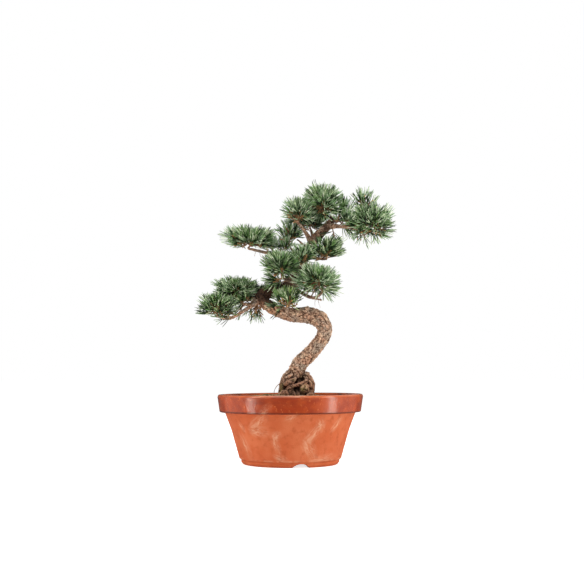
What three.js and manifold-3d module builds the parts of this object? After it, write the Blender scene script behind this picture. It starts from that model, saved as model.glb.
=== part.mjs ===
// A Japanese white pine bonsai in a round terracotta pot with a glazed rim.
// Sizes are in millimetres with +Z up, and the viewer stands at -Y. The plant is built round
// the pot's axis, and is then moved sideways so that the origin lies under its middle.

import * as THREE from "three";
import { mergeVertices } from "three/addons/utils/BufferGeometryUtils.js";
import Module from "manifold-3d";

const wasm = await Module();
wasm.setup();

// The gap that neighbouring solids keep.
const clearance = 0.3;

// The pot: an unglazed body that flares up to a thick glazed band.
const potSize = {
  height: 103,
  rimRadius: 108.5,
  bandHeight: 26,
  bandTaper: 2.4,
  lipRound: 4,
  lipWidth: 9.5,
  shoulderRadius: 97.2,
  waistRadius: 87.6,
  waistHeight: 50,
  baseRadius: 75.6,
  footRadius: 72.8,
  footHeight: 6.5,
  footChamfer: 3.2,
  footRing: 11.5,
  stepHeight: 2.2,
  wall: 8.4,
  floorTop: 14,
  floorUnder: 6.2,
  floorRound: 6,
  drainRadius: 13,
  notches: 3,
  notchTurn: -77.3,
  notchWidth: 21,
  notchTop: 12,
  notchHeight: 5.8,
  sides: 36,
};

// The soil: a low mound, level where the trunk stands on it, with cushions of moss round it.
const soilSize = { top: 101, levelRadius: 42, edgeRadius: 93, edgeDrop: 8 };

// Each cushion, as x, y, half its width, and how high it stands.
const cushions = [
  [-34, 7, 10, 1.8],
  [-58, 36, 13, 3.2],
  [-70, -12, 12, 3],
  [-46, -52, 13, 3.2],
  [-8, -70, 12, 3.4],
  [34, -62, 12, 3.2],
  [68, -22, 12, 3],
  [66, 30, 13, 3.2],
  [28, 66, 12, 3],
  [-16, 68, 13, 3.2],
];
const cushionForm = { sides: 7, sunk: 3, shoulder: 0.7 };

// The trunk, as centre and radius at each station. It leans right out of its knot of roots,
// bends back to the left, and doubles back on itself at the elbow before it climbs to the tip.
const trunkLower = [
  [8.5, 0, 92, 13],
  [8.5, 0, 132, 12.6],
  [14, 0, 146.5, 11.9],
  [34, 0, 167, 10.9],
  [49.6, 0, 189, 10.6],
  [51, 0, 202, 11.5],
  [43.5, -1, 213.5, 12.8],
  [28, -2, 219.5, 12.8],
  [4, -3, 220.2, 10.8],
  [-14, -2, 224.3, 9.6],
  [-34, 2, 235.2, 8.9],
  [-44, 7, 245, 9],
];
const trunkUpper = [
  [-46, 5, 241, 8],
  [-41, 11, 252, 10],
  [-26, 15, 257.5, 9.6],
  [-6, 17, 263.5, 8.8],
  [7, 15, 279, 8.2],
  [19, 10, 304, 8],
  [30, 7, 325, 7.7],
  [46, 3, 345, 7.4],
  [59, 1, 358, 6.4],
  [64, 0, 371, 4],
];
const trunkForm = { sides: 10, step: 11, ridge: 0.05 };

// The knot of surface roots round the trunk's foot.
const rootSize = { count: 7, middle: [8.5, 0], spread: 20, rise: 134, ground: 101.3 };
const rootForm = { sides: 6, step: 10 };

const boughForm = { sides: 5, step: 12 };

// A shoot with its needles, and the twig that carries it.
const shootSize = { length: 9, thick: 3.4, thin: 2.2, sides: 4, rows: 2 };
const needleSize = { length: 24, uneven: 0.15, slender: 1.7, leanLow: 84, leanHigh: 20, sunk: 0.3 };
const twigSize = { thick: 1.7, thin: 1.3, sides: 3, overrun: 1 };
const stemSize = { length: 3, sides: 6 };

// How far a tuft reaches above an upright shoot and beside a leaning one, how much lower the
// leaning one tops out, the tuft's height, and how unevenly the shoots stand and lean.
const tuftSize = { up: 31, out: 29, lower: 9, height: 44, uneven: 3, unevenLean: 0.1, least: 3 };
const goldenTurn = Math.PI * (3 - Math.sqrt(5));

// Each branch is one bough and the mass of needles on it. The route starts inside the trunk and
// ends where the bough enters its mass. `centre` and `half` give the mass's own space, `slant` is
// how steeply that climbs to the right, and `splay` is how far its outermost shoots lean from
// upright, in degrees.
const branches = [
  {
    name: "left_low",
    route: [[-43, 6, 244], [-66, -2, 229], [-92, -12, 214], [-106, -16, 217]],
    thick: 3.4, thin: 1.8,
    centre: [-108.5, -15, 234.2], half: [34, 36, 20], shoots: 5, splay: 75, seed: 3,
  },
  {
    name: "left_high",
    route: [[-45, 7, 245], [-62, 9, 237], [-78, 12, 240]],
    thick: 3.4, thin: 1.9,
    centre: [-81.5, 8, 260.6], half: [38.5, 38, 19.6], shoots: 8, splay: 72, seed: 8, slant: -0.04,
  },
  {
    name: "left_back",
    route: [[-38, 12, 252], [-50, 30, 251], [-57, 45, 248.5]],
    thick: 2.8, thin: 1.7,
    centre: [-60.5, 54, 260.5], half: [32, 32, 17.5], shoots: 3, splay: 70, seed: 5,
  },
  {
    name: "left_under",
    route: [[-36, 5, 237], [-48, 8, 232]],
    thick: 2.2, thin: 1.5,
    centre: [-52.5, 9, 226], half: [21, 25, 19.5], shoots: 3, splay: 50, seed: 2, hangs: true,
  },
  {
    name: "front_small",
    route: [[-3, -3, 222], [-5, -15, 231]],
    thick: 2.4, thin: 1.5,
    centre: [-3.5, -25, 245.2], half: [25, 26, 20], shoots: 3, splay: 75, seed: 1,
  },
  {
    name: "middle_left",
    route: [[4, 15, 274], [-4, -2, 272], [-12, -20, 277]],
    thick: 3.2, thin: 1.8,
    centre: [-13.5, -25, 291.5], half: [31.5, 32, 25.5], shoots: 8, splay: 85, seed: 6, slant: -0.12,
  },
  {
    name: "middle_right",
    route: [[0, 16, 268], [18, 0, 253], [36, -18, 245], [46, -24, 251]],
    thick: 3.4, thin: 1.9,
    centre: [40, -26, 269], half: [38.5, 36, 29], shoots: 9, splay: 105, seed: 7, slant: -0.26,
  },
  {
    name: "middle_top",
    route: [[16, 11, 298], [17, -3, 296]],
    thick: 2.6, thin: 1.6,
    centre: [17, -16, 308], half: [26, 26, 20], shoots: 4, splay: 65, seed: 4,
  },
  {
    name: "middle_back",
    route: [[1, 16, 269], [8, 34, 266], [14, 48, 269]],
    thick: 3, thin: 1.8,
    centre: [14, 57, 284], half: [34, 34, 22], shoots: 6, splay: 75, seed: 9,
  },
  {
    name: "upper_left",
    route: [[17, 11, 299], [-8, 9, 308.5], [-38, 5, 315.5], [-61, 1, 320.5]],
    thick: 3.8, thin: 2,
    centre: [-60.5, 0, 338], half: [48, 36, 19.3], shoots: 9, splay: 70, seed: 11, slant: -0.05,
  },
  {
    name: "upper_centre",
    route: [[23, 9, 312], [8, 13, 316], [-1, 12, 325]],
    thick: 2.6, thin: 1.6,
    centre: [-1, 10, 344], half: [25, 26, 22], shoots: 4, splay: 60, seed: 12,
  },
  {
    name: "upper_right",
    route: [[26, 8, 318], [40, 0, 306.5], [52, -8, 304]],
    thick: 3, thin: 1.8,
    centre: [50.6, -10, 320.8], half: [37.8, 34, 17.8], shoots: 6, splay: 75, seed: 13, slant: 0.14,
  },
  {
    name: "top_left",
    route: [[33, 6, 330], [22, 0, 347], [10, -6, 361], [-2, -9, 369]],
    thick: 3.2, thin: 1.8,
    centre: [12.6, -6, 376], half: [28, 32, 24], shoots: 7, splay: 85, seed: 14,
  },
  {
    name: "top_back",
    route: [[36, 5, 334], [34, 22, 344], [32, 36, 354]],
    thick: 3, thin: 1.8,
    centre: [32, 46, 371], half: [33, 34, 22], shoots: 5, splay: 80, seed: 15,
  },
  {
    name: "top_right_high",
    route: [[64, 1, 364], [80, 7, 366], [97, 9, 373]],
    thick: 2.6, thin: 1.6,
    centre: [114.5, 10, 393.5], half: [25, 30, 25], shoots: 4, splay: 65, seed: 16,
  },
  {
    name: "right_tip",
    route: [[58, 1, 356], [82, -6, 353], [106, -10, 348]],
    thick: 3.2, thin: 1.9,
    centre: [120.5, -12, 358.2], half: [42.5, 40, 33], shoots: 9, splay: 115, seed: 17, slant: -0.03,
  },
  {
    name: "top",
    centre: [49.5, 0, 391.3], half: [34, 36, 32], shoots: 9, splay: 105, seed: 18, slant: -0.08,
  },
];

const finishes = {
  pot: { color: 0xb4552c, roughness: 0.62 },
  soil: { color: 0x4a3a2a, roughness: 0.95 },
  trunk: { color: 0x8a6a50, roughness: 0.92 },
  bough: { color: 0x7d5a40, roughness: 0.9 },
  needles: { color: 0x4e7a5c, roughness: 0.6 },
};

// A closed geometry as a solid that can be joined and cut.
function solidOf(geometry) {
  geometry.deleteAttribute("normal");
  geometry.deleteAttribute("uv");
  const merged = mergeVertices(geometry);
  return new wasm.Manifold(
    new wasm.Mesh({
      numProp: 3,
      vertProperties: merged.attributes.position.array,
      triVerts: new Uint32Array(merged.index.array),
    }),
  );
}

function meshOf(name, solid, finish) {
  const { vertProperties, triVerts } = solid.getMesh();
  const geometry = new THREE.BufferGeometry();
  geometry.setAttribute("position", new THREE.BufferAttribute(vertProperties, 3));
  geometry.setIndex(new THREE.BufferAttribute(triVerts, 1));
  geometry.computeVertexNormals();
  const material = new THREE.MeshStandardMaterial({ ...finish, metalness: 0, flatShading: true });
  const mesh = new THREE.Mesh(geometry, material);
  mesh.name = name;
  return mesh;
}

// A closed profile of [radius, height] points, turned round the Z axis.
function turned(profile, sides) {
  const points = [...profile, profile[0]].map(([radius, height]) => new THREE.Vector2(radius, height));
  const geometry = new THREE.LatheGeometry(points, sides);
  geometry.rotateX(Math.PI / 2);
  return solidOf(geometry);
}

function smoothCurve(stations) {
  return new THREE.CatmullRomCurve3(stations.map(([x, y, z]) => new THREE.Vector3(x, y, z)));
}

function radiusAlong(stations, curve, share) {
  const place = curve.getUtoTmapping(share) * (stations.length - 1);
  const low = Math.min(Math.floor(place), stations.length - 2);
  return THREE.MathUtils.lerp(stations[low][3], stations[low + 1][3], place - low);
}

// A tapering limb through its stations: a cylinder bent along the smooth curve between them.
function limb(stations, { sides, step, ridge = 0 }, grow = 0) {
  const curve = smoothCurve(stations);
  const rings = Math.max(2, Math.round(curve.getLength() / step));
  const frames = curve.computeFrenetFrames(rings);
  const geometry = new THREE.CylinderGeometry(1, 1, 1, sides, rings);
  const position = geometry.attributes.position;
  const point = new THREE.Vector3();
  for (let i = 0; i < position.count; i++) {
    point.fromBufferAttribute(position, i);
    const ring = Math.round((point.y + 0.5) * rings);
    const turn = Math.atan2(point.x, point.z);
    const swell = 1 + ridge * (Math.sin(3 * turn + ring) + Math.sin(2 * turn - 1.7 * ring));
    const radius = radiusAlong(stations, curve, ring / rings) * swell + grow;
    const place = curve.getPointAt(ring / rings);
    place.addScaledVector(frames.normals[ring], point.x * radius);
    place.addScaledVector(frames.binormals[ring], -point.z * radius);
    position.setXYZ(i, place.x, place.y, place.z);
  }
  return solidOf(geometry);
}

// A straight tapering piece between two points.
function taper({ from, to, thick, thin }, sides) {
  const along = new THREE.Vector3().subVectors(to, from);
  const length = along.length();
  const geometry = new THREE.CylinderGeometry(thin, thick, length, sides);
  geometry.translate(0, length / 2, 0);
  geometry.applyQuaternion(
    new THREE.Quaternion().setFromUnitVectors(new THREE.Vector3(0, 1, 0), along.normalize()),
  );
  geometry.translate(from.x, from.y, from.z);
  return solidOf(geometry);
}

function largestPiece(solid) {
  return solid.decompose().reduce((a, b) => (a.volume() > b.volume() ? a : b));
}

// The radius of the pot's outer wall, from the step above its foot to the band.
function potWall() {
  const s = potSize;
  return [
    [s.baseRadius, s.footHeight + s.stepHeight],
    [s.waistRadius, s.waistHeight],
    [s.shoulderRadius, s.height - s.bandHeight - 1],
  ];
}

// The inner face of the pot, from its floor to the lip, drawn in or out by `grow`.
function potInside(grow) {
  const s = potSize;
  const wall = potWall().map(([radius, height]) => [radius - s.wall + grow, height]);
  const [floor, waist, shoulder] = wall;
  const slope = (waist[0] - floor[0]) / (waist[1] - floor[1]);
  const wallFoot = s.floorTop + s.floorRound;
  return [
    [floor[0] + slope * s.floorRound - s.floorRound, s.floorTop - grow],
    [floor[0] + slope * (wallFoot - floor[1]), wallFoot],
    waist,
    shoulder,
    [s.rimRadius - s.lipWidth - s.lipRound + grow, s.height - 1.5 * s.lipRound],
  ];
}

function pot() {
  const s = potSize;
  const footInner = s.footRadius - s.footChamfer - s.footRing;
  const bandFoot = s.height - s.bandHeight;
  const profile = [
    [footInner, 0],
    [s.footRadius - s.footChamfer, 0],
    [s.footRadius, s.footChamfer],
    [s.footRadius, s.footHeight],
    ...potWall(),
    [s.rimRadius - s.bandTaper - 1.5, bandFoot],
    [s.rimRadius - s.bandTaper, bandFoot + 1.5],
    [s.rimRadius, s.height - s.lipRound],
    [s.rimRadius - 0.3 * s.lipRound, s.height - 0.3 * s.lipRound],
    [s.rimRadius - s.lipRound, s.height],
    [s.rimRadius - s.lipWidth, s.height],
    [s.rimRadius - s.lipWidth - 0.6 * s.lipRound, s.height - 0.4 * s.lipRound],
    ...potInside(0).reverse(),
    [s.drainRadius, s.floorTop],
    [s.drainRadius, s.floorUnder],
    [footInner, s.floorUnder],
  ];
  let solid = turned(profile, s.sides);
  const shape = new THREE.Shape([
    new THREE.Vector2(-s.notchWidth / 2, -1),
    new THREE.Vector2(s.notchWidth / 2, -1),
    new THREE.Vector2(s.notchTop / 2, s.notchHeight),
    new THREE.Vector2(-s.notchTop / 2, s.notchHeight),
  ]);
  for (let i = 0; i < s.notches; i++) {
    const geometry = new THREE.ExtrudeGeometry(shape, { depth: 2 * s.footRing, bevelEnabled: false });
    geometry.rotateX(Math.PI / 2);
    geometry.rotateZ(Math.PI / 2);
    geometry.translate(footInner - 3, 0, 0);
    geometry.rotateZ(THREE.MathUtils.degToRad(s.notchTurn + (360 / s.notches) * i));
    solid = solid.subtract(solidOf(geometry));
  }
  return meshOf("pot", solid, finishes.pot);
}

function soilHeight(radius) {
  const s = soilSize;
  const share = (radius - s.levelRadius) / (s.edgeRadius - s.levelRadius);
  return s.top - s.edgeDrop * THREE.MathUtils.clamp(share, 0, 1);
}

function cushion([x, y, half, rise]) {
  const { sides, sunk, shoulder } = cushionForm;
  const ground = soilHeight(Math.hypot(x, y));
  const profile = [
    [0, ground - sunk],
    [half, ground - sunk],
    [shoulder * half, ground + shoulder * rise],
    [0, ground + rise],
  ];
  return turned(profile, sides).translate([x, y, 0]);
}

function soil() {
  const s = soilSize;
  const inside = potInside(-clearance);
  const [, , , shoulder, lip] = inside;
  const edge = s.top - s.edgeDrop;
  const share = (edge - shoulder[1]) / (lip[1] - shoulder[1]);
  const edgeRadius = THREE.MathUtils.lerp(shoulder[0], lip[0], share);
  const profile = [
    [0, potSize.floorTop + clearance],
    ...inside.slice(0, 4),
    [edgeRadius, edge],
    [s.levelRadius, s.top],
    [0, s.top],
  ];
  let solid = turned(profile, potSize.sides);
  for (const place of cushions) solid = solid.add(cushion(place));
  return meshOf("soil", solid, finishes.soil);
}

function root(i) {
  const { middle, spread, rise, ground, count } = rootSize;
  const turn = ((i + 0.35) * 2 * Math.PI) / count;
  const wide = spread * (1 + 0.12 * Math.sin(5 * i));
  const high = rise + 3 * Math.cos(4 * i);
  const stations = [
    [0.25, high, 6],
    [0.7, high - 7, 7.5],
    [1, high - 19, 8.2],
    [1.04, ground + 4, 7.6],
    [1, ground - 8, 7],
  ].map(([out, z, radius]) => [
    middle[0] + wide * out * Math.cos(turn + 0.4 * out),
    middle[1] + wide * out * Math.sin(turn + 0.4 * out),
    z,
    radius,
  ]);
  return limb(stations, rootForm);
}

function trunk() {
  let solid = limb(trunkLower, trunkForm).add(limb(trunkUpper, trunkForm));
  for (let i = 0; i < rootSize.count; i++) solid = solid.add(root(i));
  const below = new THREE.BoxGeometry(120, 120, 60);
  below.translate(rootSize.middle[0], rootSize.middle[1], rootSize.ground - 30);
  return largestPiece(solid.subtract(solidOf(below)));
}

// The stations of a bough, whose radius falls evenly from thick to thin.
function boughStations({ route, thick, thin }) {
  return route.map((point, i) => [...point, THREE.MathUtils.lerp(thick, thin, i / (route.length - 1))]);
}

// What stands in the way of the needles: a list of straight tapering pieces.
const taken = [];

function takeLimb(stations, step) {
  const curve = smoothCurve(stations);
  const length = curve.getLength();
  const count = Math.max(2, Math.round(length / step));
  const rounding = 1 - stations[stations.length - 1][3] / length;
  const radiusAt = (share) => radiusAlong(stations, curve, share) * (1 + 2 * trunkForm.ridge);
  for (let i = 0; i < count; i++) {
    taken.push({
      from: curve.getPointAt((i / count) * rounding),
      to: curve.getPointAt(((i + 1) / count) * rounding),
      thick: radiusAt(i / count),
      thin: radiusAt((i + 1) / count),
    });
  }
}

// Whether a piece keeps its clearance from every one of the others.
function isFree(piece, others) {
  const line = new THREE.Line3(piece.from, piece.to);
  const near = new THREE.Vector3();
  const otherNear = new THREE.Vector3();
  return others.every((other) => {
    const otherLine = new THREE.Line3(other.from, other.to);
    const apart = Math.sqrt(line.distanceSqToLine3(otherLine, near, otherNear));
    return apart > radiusAtPoint(piece, near) + radiusAtPoint(other, otherNear) + clearance;
  });
}

function radiusAtPoint({ from, to, thick, thin }, point) {
  return THREE.MathUtils.lerp(thick, thin, from.distanceTo(point) / from.distanceTo(to));
}

// Seeded numbers from 0 to 1.
function numbersFrom(seed) {
  let state = seed >>> 0;
  return () => {
    state = (Math.imul(state, 1664525) + 1013904223) >>> 0;
    return state / 2 ** 32;
  };
}

// The height of a mass's middle over a place x.
function middleOf({ centre, slant = 0 }, x) {
  return centre[2] + slant * (x - centre[0]);
}

function isInside(mass, point) {
  const { centre, half } = mass;
  const plan = Math.hypot((point.x - centre[0]) / half[0], (point.y - centre[1]) / half[1]);
  const rise = Math.abs(point.z - middleOf(mass, point.x)) / half[2];
  return plan ** 3 + rise ** 3 <= 1;
}

// Where each shoot of a mass stands and points. The shoots follow a golden spiral over the
// mass's plan, the middle ones upright and the outer ones leaning outwards.
function shootsOf(mass, random) {
  const { centre, half, shoots, splay, hangs } = mass;
  const { uneven, unevenLean } = tuftSize;
  const up = hangs ? -1 : 1;
  const [wide, deep] = half.map((size) => Math.max(size - tuftSize.out, tuftSize.least));
  const drop = Math.max(0, 2 * half[2] - tuftSize.height);
  const phase = 2 * Math.PI * random();
  return Array.from({ length: shoots }, (_, k) => {
    const share = (k + 0.5) / shoots;
    const out = Math.sqrt(share);
    const turn = k * goldenTurn + phase;
    const lean = THREE.MathUtils.degToRad(splay) * out * (1 + unevenLean * (2 * random() - 1));
    const top = half[2] - tuftSize.up + tuftSize.lower * out;
    const x = centre[0] + wide * out * Math.cos(turn);
    const base = new THREE.Vector3(
      x,
      centre[1] + deep * out * Math.sin(turn),
      middleOf(mass, x) + up * (top - drop * share + uneven * (random() - 0.5)),
    );
    const axis = new THREE.Vector3(
      Math.sin(lean) * Math.cos(turn),
      Math.sin(lean) * Math.sin(turn),
      up * Math.cos(lean),
    );
    return { base, axis };
  });
}

// The spray on one shoot: a slim core, with a needle drawn out of each face that has room.
function spray(core, hasRoom, random) {
  const { length, thick, thin, sides, rows } = shootSize;
  const upright = new THREE.Vector3(0, 1, 0);
  const axis = core.to.clone().sub(core.from).normalize();
  const geometry = new THREE.CylinderGeometry(thin, thick, length, sides, rows);
  geometry.rotateY(2 * Math.PI * random());
  geometry.translate(0, length / 2, 0);
  geometry.applyQuaternion(new THREE.Quaternion().setFromUnitVectors(upright, axis));
  geometry.translate(core.from.x, core.from.y, core.from.z);
  const corners = geometry.toNonIndexed().attributes.position;
  const points = [];
  const needles = [];
  for (let i = 0; i < corners.count; i += 3) {
    const [a, b, c] = [0, 1, 2].map((k) => new THREE.Vector3().fromBufferAttribute(corners, i + k));
    const from = new THREE.Triangle(a, b, c).getMidpoint(new THREE.Vector3());
    const needle = needleFrom(from, core.from, axis, random);
    const isOnFoot = from.distanceTo(core.from) < needleSize.slender;
    if (!isOnFoot && hasRoom(needle)) {
      points.push(a, b, needle.to, b, c, needle.to, c, a, needle.to);
      needles.push(needle);
    } else {
      points.push(a, b, c);
    }
  }
  return { needles, solid: solidOf(new THREE.BufferGeometry().setFromPoints(points)) };
}

// The needle from a point of the core. It leans out less the nearer it is to the shoot's tip.
function needleFrom(from, foot, axis, random) {
  const { length, uneven, leanLow, leanHigh, slender } = needleSize;
  const along = from.clone().sub(foot).dot(axis);
  const side = from.clone().sub(foot).addScaledVector(axis, -along).normalize();
  const lean = THREE.MathUtils.degToRad(THREE.MathUtils.lerp(leanLow, leanHigh, along / shootSize.length));
  const reach = length * (1 + uneven * (2 * random() - 1));
  const to = from.clone().addScaledVector(axis, reach * Math.cos(lean));
  to.addScaledVector(side, reach * Math.sin(lean));
  return { from, to, thick: slender, thin: 0 };
}

// A mass: a stem, twigs that branch from it, and a spray of needles on each twig. A twig or a
// needle that would touch something else is left out.
function foliage(mass, tip, heading) {
  const random = numbersFrom(mass.seed);
  const start = tip.clone().addScaledVector(heading, clearance);
  const fork = start.clone().addScaledVector(heading, stemSize.length);
  const stem = {
    from: start,
    to: fork.clone().addScaledVector(heading, twigSize.overrun),
    thick: mass.thin ?? twigSize.thick,
    thin: twigSize.thick,
  };
  const twigs = [];
  const cores = [];
  const forks = [fork];
  const shoots = shootsOf(mass, random).sort(
    (a, b) => a.base.distanceTo(fork) - b.base.distanceTo(fork),
  );
  for (const { base, axis } of shoots) {
    const from = forks.reduce((a, b) => (a.distanceTo(base) < b.distanceTo(base) ? a : b));
    const way = new THREE.Vector3().subVectors(base, from).normalize();
    const twig = { ...twigSize, from, to: base.clone().addScaledVector(way, twigSize.overrun) };
    const core = { ...shootSize, from: base, to: base.clone().addScaledVector(axis, shootSize.length) };
    if (!isFree(twig, taken) || !isFree(core, taken)) continue;
    forks.push(base);
    twigs.push(twig);
    cores.push(core);
  }
  const needles = [];
  let solid = twigs.reduce((a, b) => a.add(taper(b, twigSize.sides)), taper(stem, stemSize.sides));
  for (const core of cores) {
    const wood = [...twigs, ...cores.filter((other) => other !== core)];
    const hasRoom = (needle) =>
      isInside(mass, needle.to) && isFree(needle, [...taken, ...needles]) && isFree(outerPart(needle), wood);
    const sprayed = spray(core, hasRoom, random);
    needles.push(...sprayed.needles);
    solid = solid.add(sprayed.solid);
  }
  taken.push(stem, ...twigs, ...cores, ...needles);
  return largestPiece(solid);
}

function outerPart({ from, to, thick, thin }) {
  const start = from.clone().lerp(to, needleSize.sunk);
  return { from: start, to, thick: THREE.MathUtils.lerp(thick, thin, needleSize.sunk), thin };
}

// The end of a limb, and the way it points there.
function endOf(stations) {
  const curve = smoothCurve(stations);
  return { tip: curve.getPointAt(1), heading: curve.getTangentAt(1) };
}

const plant = new THREE.Group();
plant.add(pot(), soil(), meshOf("trunk", trunk(), finishes.trunk));

takeLimb(trunkLower, trunkForm.step);
takeLimb(trunkUpper, trunkForm.step);
const cutters = [trunkLower, trunkUpper].map((stations) => limb(stations, trunkForm, clearance));
const boughs = branches.filter((branch) => branch.route);
for (const branch of boughs) {
  const stations = boughStations(branch);
  const solid = cutters.reduce((a, b) => a.subtract(b), limb(stations, boughForm));
  plant.add(meshOf("bough_" + branch.name, largestPiece(solid), finishes.bough));
  cutters.push(limb(stations, boughForm, clearance));
  takeLimb(stations, boughForm.step);
}

for (const branch of branches) {
  const { tip, heading } = endOf(branch.route ? boughStations(branch) : trunkUpper);
  const solid = foliage(branch, tip, heading);
  plant.add(meshOf("needles_" + branch.name, solid, finishes.needles));
}

// The origin goes under the middle of the whole plant.
const outline = new THREE.Box3().setFromObject(plant);
const middle = outline.getCenter(new THREE.Vector3());
plant.position.set(-middle.x, -middle.y, 0);

export default plant;
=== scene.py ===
import math

import bmesh
import bpy
import numpy as np
from mathutils import Matrix, Vector, kdtree, noise


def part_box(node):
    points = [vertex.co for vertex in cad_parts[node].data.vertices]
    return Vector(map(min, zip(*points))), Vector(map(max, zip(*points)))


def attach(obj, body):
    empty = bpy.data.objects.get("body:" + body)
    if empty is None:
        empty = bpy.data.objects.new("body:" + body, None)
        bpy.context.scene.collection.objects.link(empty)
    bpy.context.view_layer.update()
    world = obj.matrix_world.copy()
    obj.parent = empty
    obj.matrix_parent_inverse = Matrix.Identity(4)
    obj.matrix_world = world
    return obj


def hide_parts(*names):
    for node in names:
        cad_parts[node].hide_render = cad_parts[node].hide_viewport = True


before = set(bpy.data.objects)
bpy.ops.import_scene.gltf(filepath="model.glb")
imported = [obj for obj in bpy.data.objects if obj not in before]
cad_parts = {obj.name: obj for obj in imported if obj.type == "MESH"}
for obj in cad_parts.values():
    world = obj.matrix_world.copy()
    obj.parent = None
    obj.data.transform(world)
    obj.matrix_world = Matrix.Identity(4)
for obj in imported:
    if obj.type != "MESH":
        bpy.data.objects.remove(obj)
noise.seed_set(5)
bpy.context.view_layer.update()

potLow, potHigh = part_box("pot")
potAxis = (potLow + potHigh) / 2
toFrame = Matrix.Translation((potAxis.x, potAxis.y, 0)) @ Matrix.Scale(0.001, 4)
goldenTurn = math.pi * (3 - math.sqrt(5))


# Node trees

# Gives a socket its value, or links it to another node's socket.
def feed(tree, socket, value):
    if isinstance(value, bpy.types.NodeSocket):
        tree.links.new(value, socket)
    else:
        socket.default_value = value


# Each setting is one of the node's properties, or what feeds one of its sockets.
def addNode(tree, kind, **settings):
    made = tree.nodes.new(kind)
    for name, value in settings.items():
        if hasattr(made, name):
            setattr(made, name, value)
        else:
            feed(tree, made.inputs[name.replace("_", " ")], value)
    return made


def mathNode(tree, operation, first, second, clamp=False):
    made = addNode(tree, "ShaderNodeMath", operation=operation, use_clamp=clamp)
    feed(tree, made.inputs[0], first)
    feed(tree, made.inputs[1], second)
    return made.outputs[0]


# A mask made stronger or weaker.
def times(tree, mask, strength):
    return mathNode(tree, "MULTIPLY", mask, strength, clamp=True)


def mixColours(tree, share, first, second, blend="MIX"):
    made = addNode(tree, "ShaderNodeMix", data_type="RGBA", blend_type=blend)
    for number, value in ((0, share), (6, first), (7, second)):
        feed(tree, made.inputs[number], value)
    return made.outputs[2]


# Goes smoothly from toLow to toHigh while the value goes from low to high.
def spreadNode(tree, value, low, high, toLow=0, toHigh=1):
    return addNode(tree, "ShaderNodeMapRange", interpolation_type="SMOOTHSTEP", Value=value,
                   From_Min=low, From_Max=high, To_Min=toLow, To_Max=toHigh).outputs["Result"]


# A group that takes vectors and numbers by these names, and gives one result.
def newGroup(name, vectors, numbers, result, resultKind="NodeSocketFloat"):
    group = bpy.data.node_groups.new(name, "ShaderNodeTree")
    for kind, names in (("NodeSocketVector", vectors), ("NodeSocketFloat", numbers)):
        for socketName in names:
            group.interface.new_socket(socketName, in_out="INPUT", socket_type=kind)
    group.interface.new_socket(result, in_out="OUTPUT", socket_type=resultKind)
    return group, addNode(group, "NodeGroupInput").outputs, addNode(group, "NodeGroupOutput").inputs


# Soft patches: 0 to 1 where a noise passes from Low to High.
def mottleGroup():
    group, given, result = newGroup("mottle", ["Vector"], ["Scale", "Detail", "Low", "High"], "Mask")
    clouds = addNode(group, "ShaderNodeTexNoise", Vector=given["Vector"], Scale=given["Scale"],
                     Detail=given["Detail"])
    feed(group, result["Mask"], spreadNode(group, clouds.outputs["Fac"], given["Low"], given["High"]))
    return group


# Fine grain as a bumped normal.
def grainGroup():
    group, given, result = newGroup("grain", ["Vector"], ["Scale", "Strength", "Distance"], "Normal",
                                    "NodeSocketVector")
    clouds = addNode(group, "ShaderNodeTexNoise", Vector=given["Vector"], Scale=given["Scale"],
                     Detail=6, Roughness=0.65)
    bump = addNode(group, "ShaderNodeBump", Height=clouds.outputs["Fac"], Strength=given["Strength"],
                   Distance=given["Distance"])
    feed(group, result["Normal"], bump.outputs["Normal"])
    return group


# One streaky smear: strongest at its centre, and drawn out along its length.
def smearGroup():
    group, given, result = newGroup("smear", ["Vector", "Centre", "Turn", "Size"], [], "Mask")
    local = addNode(group, "ShaderNodeMapping", vector_type="TEXTURE", Vector=given["Vector"],
                    Location=given["Centre"], Rotation=given["Turn"], Scale=given["Size"])
    local = local.outputs["Vector"]
    ball = addNode(group, "ShaderNodeTexGradient", gradient_type="SPHERICAL", Vector=local)
    drawnOut = addNode(group, "ShaderNodeMapping", Vector=local, Scale=(1, 1, 2.3))
    streaks = addNode(group, "ShaderNodeTexNoise", Vector=drawnOut.outputs["Vector"], Scale=1.7,
                      Detail=7, Roughness=0.6, Distortion=0.9)
    cut = spreadNode(group, streaks.outputs["Fac"], 0.33, 0.78)
    feed(group, result["Mask"], mathNode(group, "MULTIPLY", cut, ball.outputs["Fac"]))
    return group


mottle = mottleGroup()
grain = grainGroup()
smear = smearGroup()


def groupNode(tree, group, vector, **settings):
    return addNode(tree, "ShaderNodeGroup", node_tree=group, Vector=vector, **settings).outputs[0]


# Patches of one colour over another, where a noise passes from low to high.
def addPatches(tree, place, under, over, scale, detail, low, high, strength=1):
    mask = groupNode(tree, mottle, place, Scale=scale, Detail=detail, Low=low, High=high)
    return mixColours(tree, times(tree, mask, strength), under, over)


def addGrain(tree, place, socket, scale, strength, distance):
    feed(tree, socket, groupNode(tree, grain, place, Scale=scale, Strength=strength, Distance=distance))


# Object coordinates as millimetres from the pot's axis.
def millimetres(tree):
    place = addNode(tree, "ShaderNodeTexCoord").outputs["Object"]
    return addNode(tree, "ShaderNodeMapping", Vector=place, Scale=(1000, 1000, 1000),
                   Location=(-1000 * potAxis.x, -1000 * potAxis.y, 0)).outputs["Vector"]


def heightNode(tree, place):
    return addNode(tree, "ShaderNodeSeparateXYZ", Vector=place).outputs["Z"]


# A material, its nodes, and the sockets of its shader.
def newMaterial(name, **settings):
    material = bpy.data.materials.new(name)
    material.use_nodes = True
    tree = material.node_tree
    sockets = tree.nodes["Principled BSDF"].inputs
    for socket, value in settings.items():
        sockets[socket.replace("_", " ")].default_value = value
    return material, tree, sockets


def plainMaterials(colours, roughness):
    return [newMaterial(name, Base_Color=value, Roughness=roughness)[0] for name, value in colours.items()]


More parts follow.
